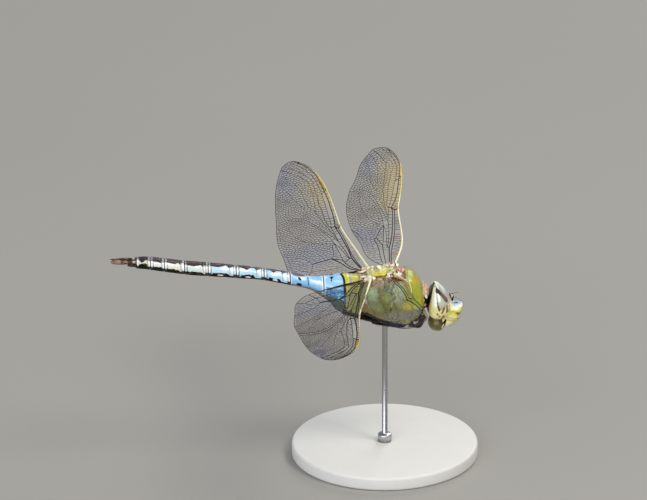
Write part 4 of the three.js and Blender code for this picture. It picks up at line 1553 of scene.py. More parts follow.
@dataclass
class Eye:
    """One of the great eyes, which meet along a seam on top of the head.

    Longitude runs from 0 in front round the side to 180 behind, latitude from the foot to the
    crown, both in degrees.
    """

    side: Side
    globe: Globe = field(default_factory=Globe)
    seam: float = 0.06
    rings: int = 110
    around: int = 150
    wall: int = 8

    def colours(self, lon: Array, lat: Array) -> Array:
        """Bands, arc and spots of the eye, with painted highlights.

        Args:
            lon: each lens's longitude, in degrees.
            lat: its latitude, in degrees.

        Returns:
            A colour for each lens.
        """
        spot = np.stack([lon, lat], axis=-1)
        scale = np.array([0.75, 1.0])
        cloud = mottle(spot, 30.0, 61)
        paint = np.zeros(lon.shape + (3,)) + tone("fff0a0")
        paint = tint(paint, 0.6 * hump(118, 24, lon) * hump(-6, 18, lat), "dfe2a0")
        paint = tint(paint, 0.6 * ease(-22, -48, lat), "ecd67c")
        paint = tint(paint, band(100, 160, 10, lon) * ease(-4, 14, lat), "fffeea")
        paint = tint(paint, 0.9 * hump(142, 9, lon) * hump(0, 12, lat), "ecd84a")
        paint = tint(paint, 0.6 * hump(148, 9, lon) * hump(-22, 14, lat), "b0ac48")
        paint = tint(paint, 0.7 * hump(30, 14, lon) * hump(8, 14, lat), "f0e6c0")
        lid = ((0, 2), (22, 8), (33, 16), (37, 28), (41, 42), (49, 55), (70, 63), (90, 65), (180, 67))
        above = lat - along_points(lid, lon) + 1.2 * cloud
        crown = ease(-4, 4, above)
        paint = tint(paint, crown, "aab4a8")
        paint = tint(paint, crown * hump(60, 30, lon) * hump(68, 8, lat), "9aa48c")
        # Painted highlight: a thin white line along the top edge of the eye.
        paint = tint(paint, 0.8 * crown * ease(80, 87, lat + 0.04 * lon), "f6f8f4")
        paint = tint(paint, 0.9 * crown * ease(34, 14, lon) * ease(24, 40, lat), "f2f6f4")
        inner = np.hypot((lon - 74) / 29, (lat - 23) / 30)
        inner = np.minimum(inner, np.hypot((lon - 46) / 22, (lat - 13) / 9))
        paint = tint(paint, ease(1.1, 0.85, inner), "bcc2b0")
        paint = tint(paint, 0.9 * ease(1.1, 0.85, inner) * ease(14, 0, lat), "b9a98c")
        # Painted highlight: a near-white oval on the eye, where the key lamp's reflection also falls.
        painted_glint = np.hypot((lon - 81) / 11, (lat - 34) / 14)
        paint = tint(paint, ease(1.15, 0.85, painted_glint), "fdfdfb")
        marks = (
            (((98, 57), (90, 57), (82, 56), (70, 53), (60, 48)), 10.0, "1c0804"),
            (((84, 57), (68, 54), (56, 47), (48, 38), (44, 28), (43, 20)), 8.2, "2f150a"),
            (((97, 48), (98, 36), (97, 24)), 1.8, "6a6238"),
            (((96, 18), (93, 6), (87, -6)), 3.8, "3c2e0c"),
            (((64, -2), (69, -9), (74, -16)), 3.0, "5f4a14"),
            (((51, 2), (52, -8), (54, -17)), 3.4, "6f5a16"),
            (((41, 0), (43, -18)), 2.2, "a8873a"),
            (((96, -19), (96, -22)), 3.2, "5e5018"),
            (((87, -30), (87, -33)), 4.2, "665818"),
            (((68, -31), (76, -42)), 4.4, "5a4a14"),
        )
        for line, width, shade in marks:
            gap = line_distance(spot * scale, np.array(line, float) * scale) + 0.4 * cloud
            over = painted(paint, shade)
            if width > 8:
                over = tint(over, ease(60, 42, lon), "6a4422")
            paint = tint(paint, 0.96 * ease(width * 1.2, width * 0.75, gap), over)
        rear = ease(154, 160, lon + 0.08 * np.maximum(-lat, 0))
        paint = tint(paint, rear * ease(88, 80, lat), "2e2015")
        return paint

    def build(self) -> bpy.types.Object:
        """Make the eye."""
        side = self.side.value
        lat = np.linspace(-math.pi / 2, math.pi / 2, self.rings + 2)[1:-1, None]
        lon = np.linspace(0, math.pi, self.around)[None, :]
        unit = np.stack([
            np.cos(lat) * np.cos(lon), side * np.cos(lat) * np.sin(lon), np.sin(lat) + 0 * lon,
        ], axis=-1)
        outer = self.globe.place(unit)
        outer[..., 0] -= 0.5 * ease(0.3, 2.6, outer[..., 2]) * ease(10.6, 13.6, outer[..., 0])
        lon_turn, lat_turn = np.degrees(lon) + 0 * lat, np.degrees(lat) + 0 * lon
        heart = np.array([11.6, 0.0, 0.0])
        inward = heart - outer
        inward /= np.linalg.norm(inward, axis=-1, keepdims=True)
        near = np.clip(1 - np.abs(outer[..., 1]) / 0.75, 0, 1) ** 2
        dip = 0.3 * near * ease(-10, 10, lat_turn)
        dip += 0.1 * hump(157, 2.2, lon_turn) + 0.12 * ease(158, 166, lon_turn)
        outer = outer + inward * dip[..., None]
        outer[..., 1] = side * np.maximum(np.abs(outer[..., 1]), self.seam)
        step = np.linspace(0, 1, self.wall + 2)[1:-1, None]
        wall = outer[:, -1:] + (outer[:, :1] - outer[:, -1:]) * step
        wall[..., 1] = side * self.seam
        rings = np.concatenate([outer, wall], axis=1)
        colours = self.colours(lon_turn, lat_turn)
        rest = np.zeros((len(rings), self.wall, 3)) + tone("2e2015")
        shape = lofted(rings, np.concatenate([colours, rest], axis=1))
        piece = dress(make_object(f"eye_shell_{self.side.label}", shape), EYE_SHELL)
        return hand_in(piece, Slot.EYE, f"eye_{self.side.label}")


@dataclass
class Skull:
    """Back of the head, the core between the eyes and the raised vertex with its ocelli."""

    globe: Globe = field(default_factory=Globe)
    back: float = 0.4
    front: float = 10.4
    across: float = 0.6
    up: float = 0.84

    def occiput(self, unit: Array) -> Array:
        """Points of the plate behind the eyes, hollowed a little round the neck."""
        p = self.globe.place(unit)
        x = np.minimum(p[..., 0] - self.back, self.front)
        y = p[..., 1] * self.across
        z = self.globe.middle[2] + (p[..., 2] - self.globe.middle[2]) * self.up
        rear = ease(10.0, 9.4, x)
        hollow = hump(0, 1.9, np.hypot(y, z + 0.2)) - 0.5 * hump(0, 1.1, np.hypot(y, z + 0.2))
        return np.stack([x + 0.45 * rear * hollow, y, z], axis=-1)

    def build(self) -> bpy.types.Object:
        """Make the skull."""
        rear = ball(self.occiput, 60, 90)
        x, y, z = np.moveaxis(rear, -1, 0)
        cloud = mottle(rear, 1.2, 71)
        paint = painted(rear, "1d140e")
        paint = tint(paint, 0.6 * ease(0.2, 1.1, cloud), "3d2a18")
        paint = tint(paint, 0.35 * ease(2.6, 3.2, z) * ease(1.2, 0.7, np.abs(y)), "8a7c30")
        paint = tint(paint, 0.6 * ease(2.2, 3.2, np.abs(y)) * ease(1.5, -1.5, z), "7a6a2a")
        plates = [lofted(rear, paint)]
        core = ellipsoid((11.6, 0, -2.0), (2.5, 2.5, 2.9), 30, 40)
        plates.append(lofted(core, painted(core, "3a2c1a")))
        top = ellipsoid((13.75, 0, 0.0), (1.2, 0.95, 0.9), 30, 40)
        x, y, z = np.moveaxis(top, -1, 0)
        top = top + np.array([0, 0, 0.12]) * (hump(0.45, 0.3, np.abs(y)) * ease(0.3, 0.8, z))[..., None]
        shade = painted(top, "efeac4")
        for ahead, above, size in ((14.0, 0.78, 0.34), (14.35, 0.0, 0.42), (14.75, 0.5, 0.24)):
            spot = np.hypot(x - ahead, z - above)
            shade = tint(shade, ease(1.2 * size, 0.8 * size, spot), "120d09")
        plates.append(lofted(top, shade))
        whole = plates[0].joined(*plates[1:])
        piece = dress(make_object("skull", whole), DARK_PLATE)
        hand_in(piece, Slot.DARK, "head_capsule")
        beads = [((14.6, 0, 0.42), 0.24), ((14.05, 0.5, 0.72), 0.18), ((14.05, -0.5, 0.72), 0.18)]
        lenses = []
        for place, size in beads:
            rings = ellipsoid(place, (size, size, size), 12, 18)
            lenses.append(lofted(rings, painted(rings, "7a5a34")))
        ocelli = dress(make_object("ocelli", lenses[0].joined(*lenses[1:])), EYE_SHELL)
        return hand_in(ocelli, Slot.EYE)


@dataclass
class Face:
    """Brow, face plates and mouth parts, hung on a line that leans back as it goes down."""

    x: float = 14.6
    z: float = -0.3
    lean: float = 18.4
    depth: float = -1.6
    around: int = 84

    def rings(self, profile: Sequence[Point], power: float = 2.4) -> tuple[Array, Array]:
        """Rings across the face.

        Args:
            profile: rows of how far down, how far forward and how wide on each side.
            power: squareness of the rings.

        Returns:
            The rings, and how far down each of their points lies.
        """
        rows = smooth_line(profile, 6)
        lean = math.radians(self.lean)
        turn = np.linspace(0, 2 * math.pi, self.around, endpoint=False)[None, :]
        forth, across = np.cos(turn), np.sin(turn)
        reach = (np.abs(forth) ** power + np.abs(across) ** power) ** (-1 / power)
        forth, across = forth * reach, across * reach
        down = rows[:, :1] + 0 * forth
        ahead = self.depth + (rows[:, 1:2] - self.depth) * (1 + forth) / 2
        points = np.stack([
            self.x - math.sin(lean) * down + math.cos(lean) * ahead,
            across * rows[:, 2:3],
            self.z - math.cos(lean) * down - math.sin(lean) * ahead,
        ], axis=-1)
        return points, down

    def finished(self, name: str, slot: Slot, rings: Array, colours: Array, rise: Array) -> Array:
        """Raise the relief, make the piece, and give back the rings it ended up with."""
        rings = rings + surface_normals(rings) * rise[..., None]
        piece = dress(make_object(f"{name}_plate", lofted(rings, colours)), FACE_PLATE)
        hand_in(piece, slot, name)
        return rings

    def frons(self) -> Array:
        """The brow, jutting forward, with a ringed dark spot on its pale top."""
        rings, down = self.rings((
            (0.34, 0.8, 0.6), (0.35, 1.5, 0.95), (0.42, 1.95, 1.25), (0.58, 2.2, 1.55),
            (0.8, 2.36, 1.88), (1.1, 2.42, 2.12), (1.5, 2.4, 2.27), (1.9, 2.32, 2.28),
            (2.14, 2.2, 2.25), (2.24, 1.8, 2.1),
        ), 3.4)
        ahead = rings[..., 0] - self.x
        rings[..., 2] += (math.tan(math.radians(self.lean)) * ahead - 0.42) * ease(2.3, 0.5, down)
        rings[..., 0] += 0.12 * ease(2.3, 0.5, down) * ease(15.0, 16.4, rings[..., 0])
        x, y, _ = np.moveaxis(rings, -1, 0)
        cloud = mottle(rings, 1.0, 81)
        paint = painted(rings, "d6d038")
        paint = tint(paint, ease(0.5, 1.2, np.abs(y)) * ease(1.65, 0.95, down) * ease(16.0, 15.3, x),
                     "fbf9ee")
        paint = tint(paint, 0.6 * ease(0.1, 1.0, cloud) * ease(0.3, 0.8, down), "eee69a")
        # Painted shade: the lower front of the brow darkens where it juts over the clypeus.
        paint = tint(paint, ease(1.6, 1.9, down) * ease(14.6, 15.4, x), "8a850c")
        top = ease(0.8, 0.55, down)
        paint = tint(paint, top, "dbe9ee")
        spot = np.hypot((x - 15.3) / 0.7, y / 0.7)
        paint = tint(paint, top * hump(1.25, 0.35, spot), "8fb9d6")
        paint = tint(paint, 0.9 * top * ease(0.85, 0.55, spot), "1d222c")
        paint = tint(paint, top * hump(16.75, 0.22, x + 0.12 * y * y), "f4f6f4")
        rise = 0.05 * hump(0.62, 0.12, down) * ease(1.8, 1.0, np.abs(y))
        rise += 0.015 * mottle(rings, 0.5, 82) - 0.08 * hump(0, 0.25, y) * ease(0.4, 0.0, down)
        return self.finished("frons", Slot.FACE, rings, paint, rise)

    def clypeus(self) -> Array:
        """The two plates below the brow, the lower one set back a step."""
        rings, down = self.rings((
            (2.14, 1.9, 2.15), (2.24, 2.25, 2.33), (2.7, 2.4, 2.42), (3.1, 2.44, 2.44),
            (3.35, 2.38, 2.4), (3.5, 2.3, 2.34), (3.8, 2.28, 2.28), (4.05, 2.14, 2.2),
            (4.16, 1.7, 2.0),
        ))
        x, y, _ = np.moveaxis(rings, -1, 0)
        cloud = mottle(rings, 1.1, 83)
        paint = painted(rings, "dcd838")
        paint = tint(paint, 0.85 * ease(0.8, 1.7, np.abs(y)) * ease(2.3, 3.0, down), "f6ecae")
        paint = tint(paint, 0.6 * ease(0.2, 1.0, cloud), "cbd43a")
        # Painted shade: the top front of the clypeus darkens in the fold under the jutting brow.
        paint = tint(paint, 0.9 * ease(2.75, 2.45, down) * ease(15.0, 15.6, x), "95900f")
        paint = tint(paint, 0.35 * hump(3.4, 0.09, down), "8f862c")
        rise = 0.07 * hump(1.3, 0.4, np.abs(y)) * band(2.5, 3.1, 0.2, down)
        rise -= 0.06 * hump(1.75, 0.12, np.abs(y))
        return self.finished("clypeus", Slot.FACE, rings, paint, rise)

    def labrum(self) -> Array:
        """The upper lip, notched in the middle and dark along its edge."""
        rings, down = self.rings((
            (4.1, 1.75, 1.95), (4.2, 2.04, 2.14), (4.6, 1.94, 2.18), (5.0, 1.7, 2.1),
            (5.3, 1.45, 1.95), (5.55, 1.16, 1.78), (5.75, 0.85, 1.5), (5.9, 0.5, 1.2),
        ))
        y = rings[..., 1]
        paint = painted(rings, "eae04a")
        paint = tint(paint, 0.85 * ease(0.5, 1.4, np.abs(y)), "f6ecae")
        paint = tint(paint, 0.4 * ease(4.45, 4.2, down), "b3aa40")
        paint = tint(paint, ease(5.72, 5.84, down - 0.2 * hump(0, 0.5, y)), "2a1c10")
        rise = -0.12 * hump(0, 0.35, y) * ease(5.2, 5.8, down)
        rise -= 0.07 * hump(0.75, 0.3, np.abs(y)) * hump(4.75, 0.3, down)
        return self.finished("labrum", Slot.FACE, rings, paint, rise)

    def jaws(self) -> None:
        """The mandibles at the sides of the mouth, pale with a black cutting edge."""
        for side in Side:
            rings = ellipsoid((12.5, side.value * 1.75, -5.15), (0.36, 0.85, 1.25), 28, 36)
            x, _, z = np.moveaxis(rings, -1, 0)
            lean = x - 12.5
            rings[..., 0] = x + 0.42 * (z + 5.15)
            paint = painted(rings, "120b07")
            pale = np.hypot((lean + 0.14) / 0.12, (z + 5.5) / 0.6)
            paint = tint(paint, ease(1.2, 0.8, pale), "ecd4ae")
            rise = 0.03 * mottle(rings, 0.7, 87)
            rings = rings + surface_normals(rings) * rise[..., None]
            name = f"jaw_{side.label}"
            piece = dress(make_object(name, lofted(rings, paint)), DARK_PLATE)
            hand_in(piece, Slot.DARK, f"mandible_{side.label}")

    def lower_lip(self) -> None:
        """The lower lip: two side lobes and a middle one, closed under the mouth."""
        rings = ellipsoid((11.15, 0, -5.25), (1.85, 2.6, 2.05), 64, 96)
        x, y, z = np.moveaxis(rings, -1, 0)
        under = ease(-5.0, -6.0, z)
        ahead = ease(10.9, 11.8, x)
        rise = -0.22 * hump(1.05, 0.1, np.abs(y) + 0.12 * (x - 11.2)) * under
        rise -= 0.16 * hump(0, 0.07, y) * under * ahead
        rise += 0.1 * hump(0, 0.6, y) * under
        rise -= 0.12 * hump(10.6, 0.12, x - 0.15 * y * y) * under
        rise += 0.035 * mottle(rings, 0.8, 88)
        cloud = mottle(rings, 1.3, 89)
        paint = painted(rings, "5a5022")
        paint = tint(paint, 0.7 * ease(0.1, 1.1, cloud), "666630")
        paint = tint(paint, 0.7 * ease(0.1, 1.1, -cloud), "6e5c2c")
        paint = tint(paint, 0.5 * ease(11.9, 12.6, x) * ease(-4.4, -5.0, z), "a89058")
        paint = tint(paint, hump(1.05, 0.12, np.abs(y) + 0.12 * (x - 11.2)) * under, "2a2012")
        paint = tint(paint, 0.6 * ease(10.2, 9.5, x), "5a4a26")
        rings = rings + surface_normals(rings) * rise[..., None]
        piece = dress(make_object("lower_lip", lofted(rings, paint)), FACE_PLATE)
        hand_in(piece, Slot.LIP, "labium")

    def antennae(self) -> None:
        """Two short feelers: a stout base, then a fine bristle."""
        for side in Side:
            way = side.value
            root = np.array([14.1, way * 0.75, 0.35])
            path = [root, root + np.array([0.9, way * 0.5, 0.3]), root + np.array([1.9, way * 1.1, 0.1])]
            line = smooth_line(path, 24)
            part = np.linspace(0, 1, len(line))
            width = along_points(
                ((0, 0.2), (0.1, 0.22), (0.14, 0.14), (0.17, 0.16), (0.3, 0.13), (0.34, 0.04),
                 (0.6, 0.03), (1, 0.015)), part,
            )
            rings = limb(line, width, 12)
            shade = np.zeros((len(line), 3)) + tone("1a120c")
            shade = tint(shade, hump(0.14, 0.03, part), "b9a860")
            colours = np.broadcast_to(shade[:, None], rings.shape).copy()
            piece = dress(make_object(f"feeler_{side.label}", lofted(rings, colours)), DARK_PLATE)
            hand_in(piece, Slot.DARK, f"antenna_{side.label}")

    def hairs(self, plates: dict[str, Array]) -> None:
        """Sparse dark bristles on the plates of the face, each patch mapped to its place.

        Args:
            plates: points of each plate, by its name.
        """
        rng = np.random.default_rng(91)
        roots, facing, places = [], [], []
        for row, (rings, count) in enumerate(zip(plates.values(), (150, 110, 90))):
            normals = surface_normals(rings)
            i = rng.integers(6, len(rings) - 6, count)
            j = rng.integers(-24, 24, count) % self.around
            roots.append(rings[i, j])
            facing.append(normals[i, j] + rng.normal(scale=0.25, size=(count, 3)))
            across = 0.05 + 0.9 * j / self.around
            down = (row + i / len(rings)) / 3.2 + 0.02
            places.append(np.stack([across, down], axis=1))
        way = np.vstack(facing)
        way /= np.linalg.norm(way, axis=1, keepdims=True)
        grown = Bristles(
            "face_hairs", np.vstack(roots), way, rng.uniform(0.3, 0.55, len(way)), 0.012,
            tone("2a2018"), np.vstack(places), sides=3,
        )
        hand_in(grown.build(HAIR), Slot.DARK)

    def build(self) -> None:
        """Make the whole face."""
        plates = {"frons": self.frons(), "clypeus": self.clypeus(), "labrum": self.labrum()}
        self.jaws()
        self.lower_lip()
        self.antennae()
        self.hairs(plates)


@dataclass
class Neck:
    """The small first ring of the thorax, and the soft neck between it and the head."""

    stations: Array = field(
        default_factory=lambda: np.array([
            (7.2, 0.9, 5.6, 4.0), (8.2, 0.9, 6.0, 4.4), (8.9, 0.6, 5.0, 3.6), (9.5, 0.3, 3.2, 2.6),
        ])
    )
    around: int = 96

    def tube(self, x: Array, shrink: Array) -> tuple[Array, Array]:
        """Rings of the first ring of the thorax, and angles from the top."""
        turn = np.linspace(0, 2 * math.pi, self.around, endpoint=False)[None, :]
        place = x[:, None]
        size = shrink[:, None] / 2
        middle = smooth_track(self.stations, 1, place)
        rings = np.stack([
            place + 0 * turn,
            smooth_track(self.stations, 3, place) * size * np.sin(turn),
            middle + smooth_track(self.stations, 2, place) * size * np.cos(turn),
        ], axis=-1)
        return rings, np.degrees(np.arccos(np.cos(turn))) + 0 * place

    def build(self) -> bpy.types.Object:
        """Make both."""
        x = np.linspace(7.2, 9.5, 44)
        shrink = along_points(((7.2, 0.7), (7.3, 0.94), (7.45, 1), (9.2, 1), (9.4, 0.85), (9.5, 0.6)), x)
        rings, angle = self.tube(x, shrink)
        place = rings[..., 0]
        top = ease(80, 40, angle)
        rise = -0.3 * hump(8.55, 0.12, place) * top + 0.12 * hump(8.85, 0.2, place) * top
        rise -= 0.22 * hump(7.75, 0.12, place) * top
        rise += 0.25 * hump(8.15, 0.3, place) * hump(28, 16, angle)
        rise -= 0.2 * hump(0, 7, angle) * band(7.9, 8.5, 0.2, place)
        rise += 0.06 * mottle(rings, 0.9, 95)
        cloud = mottle(rings, 0.9, 96)
        paint = painted(rings, "c9ab86")
        paint = tint(paint, 0.7 * ease(0.0, 0.9, cloud), "dcc4a8")
        paint = tint(paint, 0.7 * ease(0.4, 1.2, -cloud), "8a6a4c")
        paint = tint(paint, ease(72, 84, angle + 14 * (place - 8.2)), "120d0a")
        spots = (
            (8.5, 24, 0.42, 16, "d8a08c"), (8.75, 76, 0.3, 9, "f4efe6"), (8.05, 98, 0.3, 10, "e9e2cf"),
            (8.5, 122, 0.3, 10, "c9a27c"), (7.5, 88, 0.25, 22, "8f8a3a"),
        )
        for ahead, round_at, long, wide, shade in spots:
            spot = np.hypot((place - ahead) / long, (angle - round_at) / wide)
            paint = tint(paint, ease(1.2, 0.7, spot), shade)
        collar = lofted(rings + surface_normals(rings) * rise[..., None], paint)
        line = smooth_line([(8.8, 0, 0.2), (9.8, 0, 0.05), (10.8, 0, -0.1)], 14)
        part = np.linspace(0, 1, len(line))
        width = 1.15 + 0.1 * np.sin(part * 26) * ease(0, 0.2, part)
        folds = limb(line, width, 48)
        skin = painted(folds, "2a1e16")
        skin = tint(skin, 0.6 * ease(0.2, 1, mottle(folds, 0.6, 97)), "6c583e")
        piece = dress(make_object("neck_ring", collar.joined(lofted(folds, skin))), BODY_PLATE)
        return hand_in(piece, Slot.PALE, "prothorax")
# ---------------------------------------------------------------- wings


@dataclass(frozen=True)
class Vein:
    """A main vein: points in the wing's plane, its radius from root to tip, and its rise."""

    radii: tuple[float, float]
    rise: float
    points: tuple[Point, ...]


@dataclass(frozen=True)
class WingPlan:
    """One kind of wing, flat: millimetres along it and behind the line of its front edge.

    Edges are given in parts of the length. Stigma is where the coloured cell starts and ends,
    nodus where the front edge is jointed.
    """

    kind: str
    length: float
    root: Point
    leading: tuple[Point, ...]
    tip: Point
    trailing: tuple[Point, ...]
    veins: tuple[Vein, ...]
    nodus: float
    stigma: tuple[float, float]
    amber: tuple[float, float]
    bars: tuple[Point, ...]

    def outline(self, gap: float) -> Array:
        """The closed edge, from the root along the front to the tip and back."""
        stations = [*self.leading, self.tip, *self.trailing[::-1]]
        points = [(part * self.length, behind) for part, behind in stations]
        return spaced_line(smooth_line(points, 16), gap)

    def front(self) -> Array:
        """The front edge alone, from the root to the tip."""
        points = [(part * self.length, behind) for part, behind in (*self.leading, self.tip)]
        return smooth_line(points, 16)


FORE_WING = WingPlan(
    kind="fore",
    length=51.0,
    root=(2.3, 2.8, 6.9),
    leading=(
        (0, 0), (0.2, -1.2), (0.51, 0.1), (0.62, -0.1), (0.72, -0.3), (0.82, -0.2), (0.91, 0.3),
        (0.97, 1.6),
    ),
    tip=(1.0, 3.4),
    trailing=(
        (0, 2.3), (0.04, 4.4), (0.1, 6.3), (0.2, 7.7), (0.32, 9.9), (0.46, 11.2), (0.6, 10.9),
        (0.72, 9.6), (0.83, 8.8), (0.91, 7.4), (0.97, 6.0),
    ),
    nodus=26.1,
    stigma=(40.0, 45.3),
    amber=(21.0, 48.0),
    bars=((5.4, -0.95, 1.1), (12.9, -0.9, 1.0), (26.0, 0.2, 1.5)),
    veins=(
        Vein((0.13, 0.08), -0.25, (
            (0, 0.85), (3, 0.85), (6, 0.95), (9, 0.85), (12, 0.7), (16, 0.6), (20, 0.7),
            (24, 0.85), (25.4, 0.8), (26.1, 0.1),
        )),
        Vein((0.17, 0.07), 0.12, (
            (0, 1.15), (4, 1.3), (8, 1.45), (11, 1.22), (15, 1.1), (20, 1.15), (25, 1.35),
            (26.2, 1.6), (28, 1.2), (30, 0.85), (33, 0.55), (36, 0.42), (38.5, 0.35), (40, 0.3),
            (45, 0.3), (46.5, 0.6), (48.3, 1.4), (49.5, 2.3), (50.3, 3.2),
        )),
        Vein((0.09, 0.08), 0.0, ((8.4, 1.5), (8.9, 2.0))),
        Vein((0.09, 0.05), -0.1, (
            (8.9, 1.95), (10.5, 1.75), (14, 1.75), (17, 1.85), (19, 2.0), (20.5, 2.2),
            (22, 2.13), (24.5, 2.1), (26.2, 2.2), (28, 1.98), (30, 1.72), (33, 1.5), (36, 1.3),
            (38.5, 1.08), (41, 0.92), (43.5, 0.95), (45.5, 1.25), (48, 2.2), (49.4, 3.3),
            (50.4, 4.4),
        )),
        Vein((0.08, 0.045), -0.12, (
            (26.2, 2.25), (27.2, 2.6), (28.5, 2.65), (31, 2.6), (34, 2.6), (36, 2.5), (38, 2.3),
            (40, 2.15), (42, 1.95), (44, 1.62), (45.2, 1.9), (46.5, 2.6), (48, 3.7), (49.2, 5.0),
            (49.6, 5.7),
        )),
        Vein((0.07, 0.045), 0.12, (
            (22, 2.25), (24, 2.6), (26, 2.95), (28, 3.2), (30, 3.4), (32, 3.5), (33, 3.65),
            (35, 3.6), (37, 3.5), (40, 3.4), (42, 3.3), (44, 3.2), (46, 3.9), (48, 5.2),
            (48.8, 6.2),
        )),
        Vein((0.05, 0.04), 0.08, (
            (33.3, 3.7), (34.5, 4.4), (36.5, 4.9), (39, 5.0), (41.5, 5.0), (44, 5.4),
            (46.5, 6.6), (47.2, 7.2),
        )),
        Vein((0.045, 0.04), -0.03, (
            (32.5, 4.8), (34, 5.6), (36.5, 6.3), (39, 6.6), (41.5, 6.9), (43.5, 7.5),
        )),
        Vein((0.08, 0.05), -0.14, (
            (20.5, 2.2), (22, 2.7), (24, 3.3), (26, 4.0), (28, 4.75), (29.5, 5.3), (31, 6.0),
            (32, 6.8), (32.4, 7.6), (32.6, 8.6), (32.5, 10.6),
        )),
        Vein((0.08, 0.05), 0.12, (
            (8.9, 2.0), (12, 2.2), (14.5, 2.35), (16.5, 2.6), (18, 3.0), (20, 3.25), (22, 3.55),
            (24, 4.0), (26, 4.6), (27.5, 5.15), (29, 5.9), (30.3, 6.9), (31.2, 8.0), (31.5, 9.2),
            (31.4, 10.9),
        )),
        Vein((0.08, 0.08), 0.0, ((9.5, 2.95), (12, 2.9), (15, 2.93), (18, 3.05))),
        Vein((0.08, 0.08), 0.0, ((9.5, 2.95), (11, 3.6), (12.9, 4.4))),
        Vein((0.08, 0.08), 0.0, ((12.9, 4.4), (15, 4.0), (17, 3.55), (18, 3.1))),
        Vein((0.11, 0.08), -0.1, ((0, 1.9), (3, 2.2), (6, 2.6), (9.5, 2.95))),
        Vein((0.1, 0.08), 0.05, (
            (0, 2.15), (2, 2.8), (4, 3.2), (6, 3.45), (8, 3.75), (10, 4.2), (12.2, 4.8),
            (12.9, 4.4),
        )),
        Vein((0.08, 0.06), 0.08, (
            (12.2, 4.8), (12.25, 6.0), (12.4, 7.4), (13.5, 8.0), (15, 8.9), (16, 9.9),
        )),
        Vein((0.06, 0.045), -0.08, (
            (12.3, 5.6), (14, 5.9), (16, 6.6), (17.5, 7.6), (18.7, 8.5), (19.5, 8.95),
            (20.5, 9.8), (21.4, 11.0),
        )),
        Vein((0.05, 0.04), 0.03, (
            (18.2, 3.2), (18.8, 4.6), (20.3, 6.0), (22.5, 7.2), (25, 8.0), (28, 8.6), (30, 8.9),
        )),
        Vein((0.1, 0.13), 0.0, ((26.1, 0.15), (25.6, 0.6), (25.5, 1.0), (26.1, 1.6))),
        Vein((0.13, 0.09), 0.0, ((26.1, 1.4), (26.3, 1.8), (26.2, 2.25))),
        Vein((0.08, 0.06), 0.0, ((39.9, -0.2), (39, 0.4), (38, 1.1))),
    ),
)

